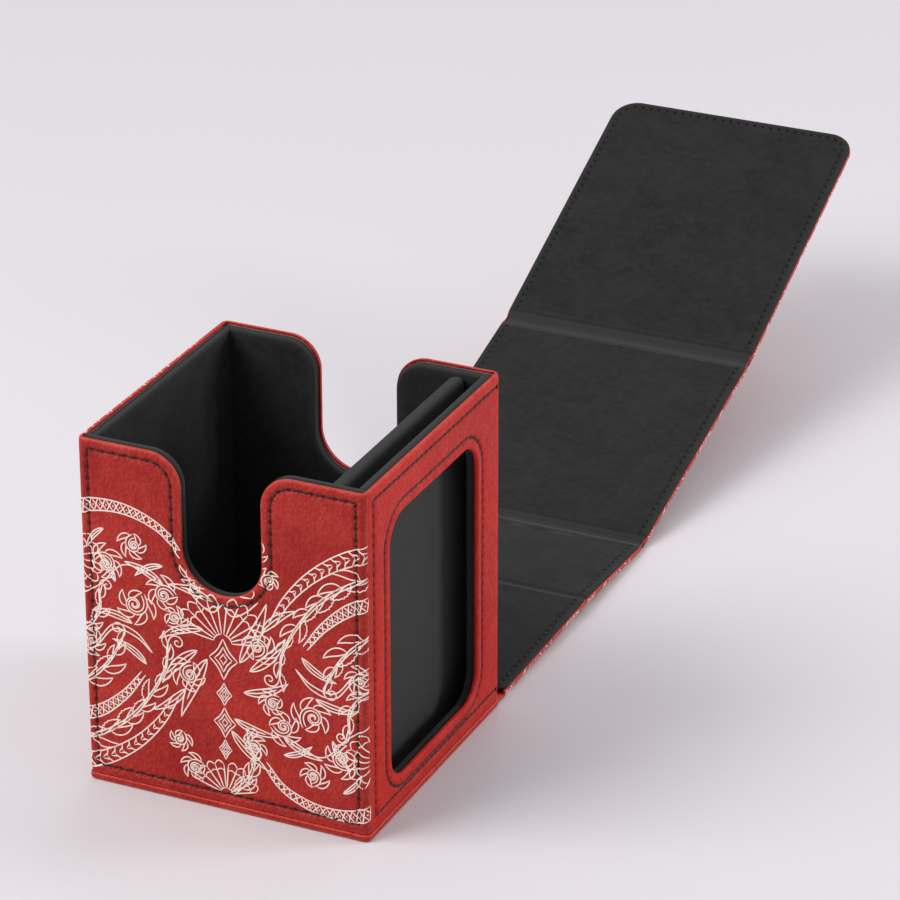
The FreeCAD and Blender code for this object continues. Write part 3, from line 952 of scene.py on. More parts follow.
def make_print(name, lines, loops, place, height, body):
    """Ink lines: thin ribbons with tapered ends, laid on the leather within the loops."""
    flat, rise, faces, total = [], [], [], 0
    for number, line in enumerate(lines):
        length = path_length(line, False)
        if length < 0.8:
            continue
        count = max(4, math.ceil(length / 0.65))
        spots, ahead = points_along(line, np.linspace(0, length, count), False)
        kept = in_region(spots, loops)
        edges = np.flatnonzero(np.diff(np.concatenate(([0], kept.astype(int), [0]))))
        side = np.column_stack([-ahead[:, 1], ahead[:, 0]])
        for start, stop in zip(edges[::2], edges[1::2]):
            if stop - start < 3:
                continue
            number_of = stop - start
            t = np.arange(number_of) * length / (count - 1)
            tip = np.minimum(1, 0.35 + np.minimum(t, t[::-1]) / 1.6)
            offset = side[start:stop] * (INK_WIDTH / 2 * tip)[:, None]
            here = spots[start:stop]
            flat += [np.stack([here + offset, here + offset, here - offset, here - offset], 1).reshape(-1, 2)]
            level = INK_RISE + 0.02 * (number % 4) / 4
            rise += [np.tile([-0.12, level, level, -0.12], number_of)]
            for k in range(number_of - 1):
                a = total + 4 * k
                faces += [[a + j, a + (j + 1) % 4, a + 4 + (j + 1) % 4, a + 4 + j] for j in range(4)]
            faces += [[total, total + 1, total + 2, total + 3],
                      [total + 4 * number_of - 1 - j for j in range(4)]]
            total += 4 * number_of
    flat = np.vstack(flat)
    piece = mesh_object(name, place(flat, height(flat) + np.concatenate(rise)), faces, sharp=35)
    return finish(piece, body, "print", "ink")


# ---------------------------------------------------------------- box walls

def round_plan(turns, height):
    """(x, y) of points round the outside of the walls, height out from the face. turns is how far round
    they are from the middle of the front wall, towards the window wall."""
    lengths = [STRAIGHT_X, ARC, 2 * STRAIGHT_Y, ARC, 2 * STRAIGHT_X, ARC, 2 * STRAIGHT_Y, ARC, STRAIGHT_X]
    girth = sum(lengths)
    t = np.mod(turns, girth)
    x = np.zeros(len(t))
    y = np.zeros(len(t))
    place = np.array((0.0, -HALF_Y))
    heading = 0.0
    passed = 0.0
    for index, length in enumerate(lengths):
        chosen = (t >= passed) & (t <= passed + length)
        local = t[chosen] - passed
        ahead = np.array((math.cos(heading), math.sin(heading)))
        out = np.array((ahead[1], -ahead[0]))
        if index % 2 == 0:
            spot = place + local[:, None] * ahead + height[chosen][:, None] * out
            place = place + length * ahead
        else:
            centre = place - out * CORNER
            angle = local / CORNER
            spot = centre + (CORNER + height[chosen])[:, None] * (
                np.cos(angle)[:, None] * out + np.sin(angle)[:, None] * ahead)
            place = centre + CORNER * ahead
            heading += math.pi / 2
        x[chosen], y[chosen] = spot[:, 0], spot[:, 1]
        passed += length
    return x, y


def on_wall(middle):
    """Placing function for a sheet on the outside, whose u is measured from that middle."""
    def place(points, heights):
        x, y = round_plan(points[:, 0] + middle, heights)
        return np.column_stack([x, y, points[:, 1]])
    return place


FRONT_MIDDLE = 0.0
WINDOW_MIDDLE = STRAIGHT_X + ARC + STRAIGHT_Y
BACK_MIDDLE = WINDOW_MIDDLE + STRAIGHT_Y + ARC + STRAIGHT_X
SIDE_MIDDLE = BACK_MIDDLE + STRAIGHT_X + ARC + STRAIGHT_Y
WRAPPED = STRAIGHT_X + ARC - LAP
LEATHER_EDGE = 0.5
LIP = 1.35
LIP_DROP = 0.65


def stitch_phase(points, line, closed, pitch):
    """For each point, its distance to a seam, and how far along the seam the nearest needle hole is."""
    distance, along = nearest(points, line, closed)
    length = path_length(line, closed)
    step = length / max(1, round(length / pitch))
    return distance, np.abs(np.mod(along + step / 2, step) - step / 2)


def leather_height(points, edges, seams, pitch, waviness, seed):
    """Height of stretched leather over its board: rounded at its edges, puffed beside the seams, pulled
    down along them and further at each needle hole. Also how worn each point is, and how much painted shade it
    gets in a needle hole."""
    to_edge = np.full(len(points), 1e9)
    for edge in edges:
        to_edge = np.minimum(to_edge, nearest(points, edge)[0])
    height = -rounding(to_edge, LEATHER_EDGE)
    to_seam = np.full(len(points), 1e9)
    hole = np.zeros(len(points))
    for line, closed in seams:
        distance, phase = stitch_phase(points, line, closed, pitch)
        hole = np.maximum(hole, np.exp(-(distance / 0.55) ** 2 - (phase / 0.80) ** 2))
        to_seam = np.minimum(to_seam, distance)
    share = to_edge / np.maximum(to_edge + to_seam, 1e-6)
    puff = 0.20 * np.sin(math.pi * np.clip(share, 0, 1)) * np.clip(to_edge / 1.5, 0, 1)
    height += puff * smooth(to_seam / 0.8)
    groove = np.exp(-(to_seam / 0.55) ** 2)
    height -= 0.26 * groove + 0.30 * hole
    height += ripple(points, 16.0, waviness, seed) * smooth(to_edge / 3)
    wear = np.exp(-(to_edge / 0.55) ** 2)
    # Painted shade: the seam value is highest in the needle holes, which are painted near black.
    return height, {"wear": wear, "seam": np.clip(hole * 2.3 - 0.45 + 0.22 * groove, 0, 1)}


def make_leather(name, node, loops, edge, seams, lines, pitch, place, seed, material="leather", waviness=0.05,
                 rows=(), rim=()):
    """A leather sheet glued over a board. Returns the height of its face as a function of points."""
    spots = scattered(loops, [(edge, True)] + seams, 1.7, 1.7)

    def relief(points):
        return leather_height(points, [edge], seams, pitch, waviness, seed)

    piece = make_shell(name, loops, lines + list(rows), spots, lambda points: relief(points)[0], level(-SKIN),
                       place, rim=rim, under_lines=rows, values=lambda points: relief(points)[1])
    finish(piece, "box", "leather", material, node)
    return lambda points: relief(points)[0]


# How far inside an edge, and how far from a seam, the lines of a sheet's mesh run
EDGE_STEPS = (0.07, 0.18, 0.32, 0.5, 0.8, 1.25)
SEAM_STEPS = (-1.3, -0.8, -0.5, -0.25, 0.0, 0.25, 0.5, 0.8, 1.4, 2.4)
WINDOW_SEAM_STEPS = (-1.3, -0.8, -0.45, -0.2, 0.0, 0.2, 0.45, 0.8, 1.4)
WHOLE_SIDE = 50
BOX_STITCH = (-0.20, 0.06)
WINDOW_STITCH = (-0.20, 0.26)
WINDOW_INNER_STITCH = (-0.20, -0.26)
PRINT_TOP = 91.0
SIDE_SEED = 31
WINDOW_SEED = 32


def upright_rows(places):
    """Upright lines, so that a sheet bends evenly round a corner."""
    return [(np.array([(u, WALL_FOOT + 1.6), (u, TOP - 1.6)]), False) for u in places]


CORNER_ROWS = [STRAIGHT_X + ARC * k / 6 for k in range(1, 6)]
LIP_RIM = [(0.0, -LIP), (LIP_DROP, -LIP + 0.05)]


def make_notched_leather(name, node, middle, half_right, half_left, seed, rim=()):
    """Leather of the front or back wall. It wraps round its corners as far as half_left and half_right."""
    place = on_wall(middle)

    def corners(edge):
        reach = {0: -(half_left - edge), 1: half_right - edge, 2: half_right - edge, 7: -(half_left - edge)}
        return [(reach.get(k, u), v, r) for k, (u, v, r) in enumerate(notched(0, WALL_FOOT, edge))]

    def seam(edge):
        return notched(HALF_X, WALL_FOOT, SEAM_INSET + edge)

    seam_loop = rounded_outline(seam(0), WHOLE_SIDE)
    lines = insets(corners, EDGE_STEPS, 0.9) + insets(seam, SEAM_STEPS, 0.42, 0.42)
    bends = [u for u in CORNER_ROWS if u < half_right - 1.4]
    bends += [-u for u in CORNER_ROWS if u < half_left - 1.4]
    height = make_leather(name + "_leather", node, [rounded_outline(corners(0), 0.9)],
                          rounded_outline(corners(0), WHOLE_SIDE), [(seam_loop, True)], lines, STITCH_PITCH,
                          place, seed, rows=upright_rows(bends), rim=rim)
    sew("box", [name + "_thread"], seam_loop, True, STITCH_PITCH, place, *BOX_STITCH)
    ornament = wall_lines(HALF_X + 1.5, WALL_FOOT, PRINT_TOP, seed)
    make_print(name + "_print", ornament, [rounded_outline(corners(0.12), 2.0)], place, height, "box")


def make_side_leather():
    """Leather of the plain side wall, between the wraps of the front and the back."""
    place = on_wall(SIDE_MIDDLE)
    half = STRAIGHT_Y + LAP

    def corners(edge):
        return rectangle(-half + edge, half - edge, WALL_FOOT + edge, TOP - edge)

    def seam(edge):
        inset = SEAM_INSET + edge
        return rectangle(-HALF_Y + SKIN + inset, HALF_Y - SKIN - inset, WALL_FOOT + inset, TOP - inset)

    seam_loop = rounded_outline(seam(0), WHOLE_SIDE)
    lines = insets(corners, EDGE_STEPS[:-1], 0.9) + insets(seam, SEAM_STEPS[1:], 0.42)
    face = make_leather("side_leather", "side_cover", [rounded_outline(corners(0), 0.9)],
                        rounded_outline(corners(0), WHOLE_SIDE), [(seam_loop, True)], lines, STITCH_PITCH,
                        place, SIDE_SEED, rim=LIP_RIM)
    sew("box", ["side_thread"], seam_loop, True, STITCH_PITCH, place, *BOX_STITCH)

    def height(points):
        return face(np.minimum(points, (1e3, TOP)))

    def over_the_top(points, heights):
        extra = np.clip(points[:, 1] - TOP, 0, None)
        lowered = np.column_stack([points[:, 0], np.minimum(points[:, 1], TOP)])
        spots = place(lowered, np.where(extra > 0, -extra, heights))
        spots[:, 2] += np.where(extra > 0, heights + LEATHER_EDGE, 0)
        return spots

    region = rounded_outline(rectangle(-half + 0.1, half - 0.1, WALL_FOOT + 0.3, TOP + LIP - 0.2), 2.0)
    draw = random.Random(8)
    strokes = [np.array([(u, TOP - draw.uniform(3, 7)),
                         (u + draw.uniform(-2, 3), TOP + draw.uniform(0.3, LIP))])
               for u in np.arange(-26, HALF_Y, 1.3)]
    ornament = wall_lines(HALF_Y, WALL_FOOT, TOP + 2, SIDE_SEED) + strokes
    make_print("side_print", ornament, [region], over_the_top, height, "box")


def window_corners(edge):
    """The window's outline, drawn edge outside the real one."""
    half = WINDOW_HALF + edge
    return rectangle(-half, half, WINDOW_FOOT - edge, WINDOW_HEAD + edge, WINDOW_ROUND + edge)


def box_gap(points, centre, half, radius):
    """Signed distance from a rounded rectangle, and the direction straight away from it."""
    offset = points - centre
    q = np.abs(offset) - (np.array(half) - radius)
    sign = np.where(offset < 0, -1.0, 1.0)
    corner = np.maximum(q, 0)
    length = np.linalg.norm(corner, axis=1)
    distance = length + np.minimum(q.max(1), 0) - radius
    away = corner / np.maximum(length, 1e-9)[:, None]
    flat = np.zeros_like(q)
    flat[np.arange(len(q)), q.argmax(1)] = 1.0
    away = np.where((length > 1e-9)[:, None], away, flat)
    return distance, away * sign


def make_window_leather():
    """Leather of the window wall, turned over the edge of the window and round the back corner."""
    outside = on_wall(WINDOW_MIDDLE)
    centre = np.array((0.0, (WINDOW_FOOT + WINDOW_HEAD) / 2))
    half = (WINDOW_HALF, (WINDOW_HEAD - WINDOW_FOOT) / 2)
    turn_length = WINDOW_TURN * math.pi / 2
    hole_edge = WINDOW_TURN - turn_length - 0.06

    def place(points, heights):
        gap, away = box_gap(points, centre, half, WINDOW_ROUND)
        past = np.clip(WINDOW_TURN - gap, 0, None)
        turning = np.minimum(past, turn_length) / WINDOW_TURN
        straight = np.clip(past - turn_length, 0, None)
        reach = WINDOW_TURN + heights
        foot = points + away * past[:, None]
        inwards = np.where(past > 0, reach * np.sin(turning), 0.0)
        drop = np.where(past > 0, WINDOW_TURN - reach * np.cos(turning) + straight, -heights)
        return outside(foot - away * inwards[:, None], -drop)

    left = -(STRAIGHT_Y + LAP)
    right = STRAIGHT_Y + ARC + LAP

    def corners(edge):
        return rectangle(left + edge, right - edge, WALL_FOOT + edge, TOP - edge)

    def hole(edge):
        return window_corners(hole_edge + edge)

    seam_left = -(HALF_Y - SKIN - WINDOW_WALL_SEAM)
    seam_right = HALF_Y - 2.0

    def seam(edge):
        low, high = WALL_FOOT + WINDOW_WALL_SEAM + edge, TOP - WINDOW_WALL_SEAM - edge
        left_end = seam_left + edge
        return np.array([(seam_right, low), (left_end, low), (left_end, high), (seam_right, high)])

    def divided(line, step):
        parts = [np.linspace(a, b, max(2, math.ceil(np.linalg.norm(b - a) / step) + 1))[:-1]
                 for a, b in zip(line[:-1], line[1:])]
        return np.vstack(parts + [line[-1:]])

    loops = [rounded_outline(corners(0), 0.9), rounded_outline(hole(0), 1.0)[::-1]]
    inner_seam = rounded_outline(window_corners(WINDOW_SEAM), WHOLE_SIDE)
    turn_steps = (WINDOW_TURN - turn_length, -0.25, -0.02, 0.2, 0.42, 0.65, 0.9, 1.3)
    lines = insets(corners, EDGE_STEPS, 0.9) + insets(window_corners, turn_steps, 0.9)
    lines += [(divided(seam(step), 0.42), False) for step in WINDOW_SEAM_STEPS]
    lines += insets(lambda step: window_corners(WINDOW_SEAM + step), WINDOW_SEAM_STEPS, 0.42, 0.42)
    make_leather("window_leather", "window_cover", loops, rounded_outline(corners(0), WHOLE_SIDE),
                 [(seam(0), False), (inner_seam, True)], lines, WINDOW_STITCH_PITCH, place, WINDOW_SEED,
                 "smooth_leather", 0.04, upright_rows([STRAIGHT_Y + ARC * k / 6 for k in range(6)]))
    sew("window", ["window_outer_thread"], seam(0), False, WINDOW_STITCH_PITCH, outside, *WINDOW_STITCH)
    sew("window", ["window_inner_thread"], inner_seam, True, WINDOW_STITCH_PITCH, outside,
        *WINDOW_INNER_STITCH)


# ---------------------------------------------------------------- box lining, base and divider

RIM_ROUND = 0.8
RIM_STEPS = (0.1, 0.25, 0.45, 0.7, 1.0)


def on_flat(axis, side, half):
    """Placing function inside the walls: heights are depths in from the outer face at side * half."""
    def place(points, depths):
        level = side * (half - depths)
        columns = [points[:, 0], level, points[:, 1]] if axis == "Y" else [level, points[:, 0], points[:, 1]]
        return np.column_stack(columns)
    return place


def make_wall_lining(name, corners, rims, place, seed, hole=None, start=1.0):
    """Lining of a wall, carried over the top of its board.

    corners(edge) gives its outline, edge inside the real one, and rims are its free edges.
    """
    loops = [rounded_outline(corners(0), 1.2)]
    lines = insets(corners, RIM_STEPS, 1.2)
    if hole:
        loops.append(rounded_outline(hole(0), 1.2)[::-1])
        lines += insets(hole, RIM_STEPS, 1.2)
    spots = scattered(loops, [(loop, True) for loop in loops], 2.2, 1.9)

    def to_rim(points):
        return np.min([nearest(points, rim, False)[0] for rim in rims], axis=0)

    def top(points):
        rim = to_rim(points)
        crown = 0.12 * np.exp(-((rim - 1.6) / 0.9) ** 2)
        return WALL - rounding(rim, RIM_ROUND) + crown + ripple(points, 12.0, 0.10, seed) * smooth(rim / 4)

    def under(points):
        return np.where(to_rim(points) < 0.8, start, BOARD_DEPTH)

    # Painted highlight: the lining is painted paler along its rims, palest at the edge.
    def values(points):
        return {"wear": np.exp(-(to_rim(points) / 1.0) ** 2), "seam": np.zeros(len(points))}

    piece = make_shell(name + "_inner", loops, lines, spots, top, under, place,
                       rim=[(0.0, start + 0.4), (0.05, start + 0.2), (0.15, start)],
                       under_lines=insets(corners, (0.75, 0.85), 3.0), values=values)
    return finish(piece, "box", "lining", "lining", name + "_lining")


def make_notched_lining(name, side, seed, drop, start):
    """Lining of the front or back wall."""
    half = HALF_X - SKIN

    def corners(edge):
        return notched(half, WALL_FOOT, edge + drop, side_edge=min(edge, 0.6) * 0.4)

    outline = rounded_outline(corners(0), WHOLE_SIDE)
    first = int(np.argmax((outline[:, 0] > half - 0.01) & (outline[:, 1] > TOP - 1)))
    rim = np.roll(outline, -first, axis=0)[:np.count_nonzero(outline[:, 1] > WALL_FOOT + 1)]
    return make_wall_lining(name, corners, [rim], on_flat("Y", side, HALF_Y), seed, start=start)


def make_plain_lining(name, side, seed, has_window, drop, start):
    """Lining of a side wall, between the linings of the front and the back."""
    half = HALF_Y - WALL + 0.25

    def corners(edge):
        level = min(edge, 0.6) * 0.3
        return rectangle(-half + level, half - level, WALL_FOOT + level, TOP - drop - edge)

    rims = [np.array([(-half - 2, TOP - drop), (half + 2, TOP - drop)])]
    hole = None
    if has_window:
        def hole(edge):
            return window_corners(WINDOW_LINING_STEP + edge)

        loop = rounded_outline(hole(0), WHOLE_SIDE)
        rims.append(np.vstack([loop, loop[:1]]))
    return make_wall_lining(name, corners, rims, on_flat("X", side, HALF_X), seed, hole, start)


def loft(name, rings):
    """A shape through rings with equal counts, capped at both ends."""
    count = len(rings[0])
    starts = np.arange(len(rings)) * count
    faces = []
    for a, b in zip(starts, starts[1:]):
        faces += bridge([np.arange(count) + a], [np.arange(count) + b])
    faces += [list(range(count)), list(range(starts[-1], starts[-1] + count))[::-1]]
    return mesh_object(name, np.vstack(rings), faces)


def make_base_tray():
    """Leather tray under the base board, a little proud of the walls, with a soft rounded edge."""
    high = node_box("base_cover")[1]
    skin = node_box("base_board")[0][2]
    profile = [(skin, skin), (skin, high[2] - 0.06), (skin - 0.1, high[2])]
    profile += [(0.42, high[2]), (0.2, high[2] - 0.1), (0.05, high[2] - 0.3), (0.0, high[2] - 0.6), (0.0, 0.95)]
    profile += [(0.06, 0.6), (0.22, 0.28), (0.5, 0.07), (0.9, 0.0), (2.5, 0.02)]
    rings = []
    for inset, level in profile:
        loop = rounded_outline(rectangle(-high[0], high[0], -high[1], high[1], 1.9), 2.0, 0.3)
        loop = loop + inward(loop, False) * inset
        rings.append(np.column_stack([loop, np.full(len(loop), level)]))
    tray = loft("base_tray", rings)
    wear = tray.data.attributes.new("wear", "FLOAT", "POINT")
    wear.data.foreach_set("value", np.array([1.0 if 0.0 < p[0] < 0.3 else 0.0 for p in profile
                                             for _ in range(len(rings[0]))], np.float32))
    return finish(tray, "box", "leather", "leather", "base_cover")


def make_base_lining():
    """Soft floor of the box."""
    low, high = node_box("base_lining")

    def corners(edge, radius=0.3):
        return rectangle(low[0] + edge, high[0] - edge, low[1] + edge, high[1] - edge, radius)

    border = rounded_outline(corners(0, 0.0), WHOLE_SIDE)
    spots = scattered([rounded_outline(corners(0), 2.0)], [(border, True)], 3.0, 2.0)

    def top(points):
        edge = nearest(points, border)[0]
        return high[2] - rounding(edge, 0.5) + ripple(points, 14.0, 0.12, 5) * smooth(edge / 4)

    lines = insets(corners, (0.2, 0.5, 1.0), 2.0)
    piece = make_shell("base_lining_sheet", [rounded_outline(corners(0), 2.0)], lines, spots, top, level(low[2]),
                       lambda points, heights: np.column_stack([points, heights]))
    return finish(piece, "box", "lining", "lining", "base_lining")


# The divider's wrap: how far above its CAD solid, how much thicker towards the bay, and its corners
DIVIDER_RISE = 1.6
DIVIDER_BAY_SIDE = 1.7
DIVIDER_ROUND = 1.8


def make_divider_wrap():
    """Padded divider: a soft pillow of lining round a thin board."""
    low, high = node_box("divider_wrap")
    high[2] += DIVIDER_RISE
    middle = (low[0] + high[0]) / 2
    half = (high[0] - low[0]) / 2
    reach = high[1]

    def corners(edge):
        side = reach - edge * 0.2
        radius = max(DIVIDER_ROUND - edge, 0.2)
        peak = high[2] - edge
        return [(-side, low[2], 0), (side, low[2], 0), (side, peak, radius), (-side, peak, radius)]

    loop = rounded_outline(corners(0), 1.5)
    lines = insets(corners, (0.08, 0.25, 0.5, 0.85, 1.3, 1.8, 2.4, 3.2, 4.2), 1.5)
    border = rounded_outline(corners(0), WHOLE_SIDE)
    free = np.array([point for point in np.roll(border, -1, axis=0) if point[1] > low[2] + 1])
    free = np.vstack([free[np.argsort(-free[:, 0])], [(-reach, high[2] - DIVIDER_ROUND)]])
    spots = scattered([loop], [(border, True)], 2.4, 4.6)

    def swell(points, seed):
        edge = nearest(points, free, False)[0]
        t = 1 - np.clip(edge / 1.7, 0, 1)
        padding = half * np.sqrt(np.clip(1 - t ** 2.4, 0, 1)) + 0.32 * np.exp(-((edge - 2.6) / 2.2) ** 2)
        return padding + ripple(points, 15.0, 0.14, seed) * smooth(edge / 4)

    flat, faces, chains = fill(with_crossings([loop], lines), lines, spots)
    sides = [np.column_stack([middle + share * swell(flat, seed), flat])
             for share, seed in ((1.0, 6), (-DIVIDER_BAY_SIDE, 7))]
    total = len(flat)
    points = np.vstack(sides)
    faces = faces.tolist() + (faces[:, ::-1] + total).tolist()
    faces += bridge(chains, [chain + total for chain in chains])
    # Painted light: the whole padding is painted paler, standing in for light that falls on the divider through
    # the window.
    shape = mesh_object("divider_padding", points, faces,
                        {"wear": np.full(len(points), 0.85), "seam": np.zeros(len(points))})
    merge = bmesh.new()
    merge.from_mesh(shape.data)
    bmesh.ops.remove_doubles(merge, verts=merge.verts, dist=1e-7)
    bmesh.ops.recalc_face_normals(merge, faces=merge.faces)
    merge.to_mesh(shape.data)
    merge.free()
    finish(shape, "box", "lining", "lining", "divider_wrap")


# ---------------------------------------------------------------- flap

def panel_normal(node):
    """Direction across a flat node: the normal of its largest face, turned upwards."""
    mesh = frame["nodes"][node].data
    largest = max(mesh.polygons, key=lambda polygon: polygon.area)
    normal = np.array(largest.normal)
    return normal if normal[2] > 0 else -normal


def raised(origin, angle, points, heights):
    """Puts (across, along) points at those heights above a plane that rises from origin at that angle."""
    c, s = np.cos(angle), np.sin(angle)
    y = origin[0] + points[:, 1] * c - heights * s
    z = origin[1] + points[:, 1] * s + heights * c
    return np.column_stack([points[:, 0], y, z])


class Panel:
    """One stiff panel of the flap, with its hinge line, its pitch and where it starts and ends."""

    def __init__(self, name, joint):
        self.name = name
        found = next(j for j in frame["joints"] if j["name"] == joint)
        self.origin = np.array(found["pos_m"][1:]) / MM
        normal = panel_normal(name + "_board")
        self.pitch = math.atan2(-normal[1], normal[2])
        ahead = np.array((math.cos(self.pitch), math.sin(self.pitch)))
        mesh = frame["nodes"][name + "_cover"].data
        spots = np.array([vert.co[1:] for vert in mesh.vertices]) / MM - self.origin
        self.start = (spots @ ahead).min()
        self.end = (spots @ ahead).max()
        self.is_free = name == "lid_front"
        self.is_first = name == "back_lower"

    def place(self, points, heights):
        """Puts (across, along) points at those heights above the panel's middle."""
        return raised(self.origin, self.pitch, points, heights)


PANELS = [Panel("back_lower", "base_hinge"), Panel("back_upper", "back_crease_fold"),
          Panel("lid_top", "rear_crease_fold"), Panel("lid_front", "front_crease_fold")]
FREE_ROUND = 8.5
HINGE_ROUND = 3.0
# Beyond the creases, so that the ends of a panel there don't count as edges
PAST_CREASE = 60.0
# How far inside an edge, and how far from a seam, the lines of the flap's meshes run
SLOPE_STEPS = (0.12, 0.3, 0.5, 0.75, 1.0, 1.25, 1.5, 2.1)
LINING_STEPS = (0.05, 0.15, 0.3, 0.5, 0.75, 1.1)
WRAP_STEPS = (0.12, 0.35, 0.7, 1.0, 1.3, 1.6, 1.9, 2.3)
WRAP_UNDER_STEPS = (0.75, 1.3, 1.7, 2.15)
FLAP_SEAM_STEPS = (-0.8, -0.45, -0.2, 0.0, 0.2, 0.45, 0.8, 1.5)


def crease_drop(panel, along, full):
    """How far a sheet has dropped towards the creases at either end of a panel."""
    drop = np.zeros(len(along))
    if not panel.is_first:
        drop = np.maximum(drop, 1 - smooth((along - panel.start) / CREASE_SLOPE))
    if not panel.is_free:
        drop = np.maximum(drop, 1 - smooth((panel.end - along) / CREASE_SLOPE))
    return drop * full


def cross_rows(half, places):
    """Lines across a panel, so that a sheet slopes evenly into its crease."""
    return [(np.array([(-half, v), (half, v)]), False) for v in places]


def side_rows(half, first, last, steps):
    """Lines along both sides of a strip, each a step inside its edge."""
    return [(np.array([(s * (half - e), first), (s * (half - e), last)]), False)
            for e in steps for s in (-1, 1)]


def slope_places(panel, at_start):
    """Where a panel's sheet needs lines for its slopes into the creases."""
    places = []
    for step in SLOPE_STEPS:
        if at_start:
            places.append(panel.start + step)
        if not panel.is_free:
            places.append(panel.end - step)
    return places


def flap_corners(panel, half, edge, run_on=0.0):
    """Corners of a panel's lining, edge inside on its free sides. Ends at creases run on by run_on."""
    first = panel.start + (edge if panel.is_first else -run_on)
    last = panel.end - edge if panel.is_free else panel.end + run_on
    r0 = max(HINGE_ROUND - edge, 0.05) if panel.is_first else 0.0
    r1 = max(FREE_ROUND - edge, 0.05) if panel.is_free else 0.0
    side = half - edge
    return [(-side, first, r0), (side, first, r0), (side, last, r1), (-side, last, r1)]


def wrap_corners(panel, edge, run_on=0.0):
    """Corners of a panel's leather laid flat, before its free edges are turned up."""
    extra = FLAP_WRAP - FLAP_HALF_WIDTH
    side = FLAP_WRAP - edge
    first, last, radius = panel.start - run_on, panel.end + run_on, 0.0
    if panel.is_free:
        last, radius = panel.end + extra - edge, max(FREE_ROUND + extra - edge, 0.05)
    return [(-side, first, 0.0), (side, first, 0.0), (side, last, radius), (-side, last, radius)]


def flap_seam(panel, half, edge):
    """The seam of a panel as open lines: both sides, or one line round the free end."""
    inset = FLAP_SEAM + edge
    side = half - inset
    first = panel.start + (1.6 if panel.is_first else 1.2)
    if not panel.is_free:
        return [np.array([(s * side, first), (s * side, panel.end - 1.2)]) for s in (-1, 1)]
    last, radius = panel.end - inset, FREE_ROUND - inset
    corners = [(side, first - 30, 0), (side, last, radius), (-side, last, radius), (-side, first - 30, 0)]
    keep = [p for p in rounded_outline(corners, 0.6) if p[1] >= first]
    start = int(np.argmin([abs(p[0] - side) + abs(p[1] - first) for p in keep]))
    ordered = keep[start:] + keep[:start]
    if ordered[1][0] < -side + 0.1:
        ordered = ordered[::-1]
    return [np.array(ordered)]


def flap_seam_lines(panel, half):
    """Lines beside a panel's seam, so that its sheet can dip along it."""
    lines = []
    for step in FLAP_SEAM_STEPS:
        for line in flap_seam(panel, half, step):
            length = path_length(line, False)
            places = np.linspace(0, length, max(2, math.ceil(length / 0.45) + 1))
            lines.append((points_along(line, places, False)[0], False))
    return lines


def flap_relief(panel, points, half, seed, depth):
    """Shared surface of a panel's lining or leather: seam groove, needle holes and soft unevenness."""
    to_edge = nearest(points, rounded_outline(flap_corners(panel, half, 0, PAST_CREASE), 200))[0]
    to_seam = np.full(len(points), 1e9)
    hole = np.zeros(len(points))
    for line in flap_seam(panel, half, 0):
        distance, phase = stitch_phase(points, line, False, FLAP_STITCH_PITCH)
        hole = np.maximum(hole, np.exp(-(distance / 0.5) ** 2 - (phase / 0.5) ** 2))
        to_seam = np.minimum(to_seam, distance)
    groove = np.exp(-(to_seam / 0.5) ** 2)
    outside = (to_edge < FLAP_SEAM) & (to_seam < 50)
    height = -0.20 * groove - 0.22 * hole + ripple(points, 18.0, depth, seed) * smooth(to_edge / 4)
    height += 0.10 * np.where(outside, np.sin(math.pi * np.clip(to_edge / FLAP_SEAM, 0, 1)), 0)
    quiet = 1 - crease_drop(panel, points[:, 1], 1.0)
    return height * quiet, to_edge, hole * quiet, groove * quiet, outside


def make_panel_lining(panel, seed):
    """Lining over one panel. It is rounded along its free edges and slopes down into the creases."""
    half = FLAP_HALF_WIDTH - FLAP_LINING_INSET

    def corners(edge):
        return flap_corners(panel, half, edge)

    loop = rounded_outline(corners(0), 1.4)
    seam = flap_seam(panel, half, 0)
    lines = insets(corners, LINING_STEPS, 1.4) + flap_seam_lines(panel, half)
    lines += cross_rows(half, slope_places(panel, not panel.is_first))
    border = rounded_outline(corners(0), 200)
    spots = scattered([loop], [(border, True)] + [(line, False) for line in seam], 2.2, 2.2)

    def top(points):
        relief, to_edge = flap_relief(panel, points, half, seed, 0.10)[:2]
        drop = crease_drop(panel, points[:, 1], FLAP_TOP - CREASE_TOP)
        return FLAP_TOP + relief - drop - rounding(to_edge, 0.6)

    def under(points):
        free = rounded_outline(flap_corners(panel, half, 0, PAST_CREASE), 200)
        return np.where(nearest(points, free)[0] < 3.4, FLAP_SPLIT, FLAP_TOP - 0.5)

    def values(points):
        _, to_edge, hole, groove, outside = flap_relief(panel, points, half, seed, 0.10)
        return {"wear": np.where(outside, 0.30, 0.0) + 0.2 * np.exp(-(to_edge / 0.7) ** 2),
                # Painted shade: the needle holes and the seam groove are painted dark.
                "seam": np.clip(hole * 1.1 + 0.35 * groove, 0, 1)}

    piece = make_shell(panel.name + "_suede", [loop], lines, spots, top, under, panel.place,
                       rim=[(0.0, FLAP_SPLIT + 0.02)], under_lines=insets(corners, (3.35, 3.45), 3.0),
                       values=values)
    finish(piece, panel.name, "lining", "lining", panel.name + "_lining")
    for line in seam:
        sew(panel.name, [panel.name + "_thread"], line, False, FLAP_STITCH_PITCH, panel.place,
            FLAP_TOP - 0.16)


FLAP_FLAT = FLAP_HALF_WIDTH - FLAP_BEND
FLAP_WRAP = FLAP_FLAT + FLAP_BEND * math.pi / 2 + (FLAP_SPLIT - FLAP_FOOT - FLAP_BEND)


def wrap_gap(panel, points):
    """Signed distance past the line where a panel's leather starts to turn up, and the direction away."""
    first = panel.start - 400
    last = panel.end - FLAP_BEND if panel.is_free else panel.end + 400
    centre = np.array((0.0, (first + last) / 2))
    radius = FREE_ROUND - FLAP_BEND if panel.is_free else 0.01
    return box_gap(points, centre, (FLAP_FLAT, (last - first) / 2), radius)


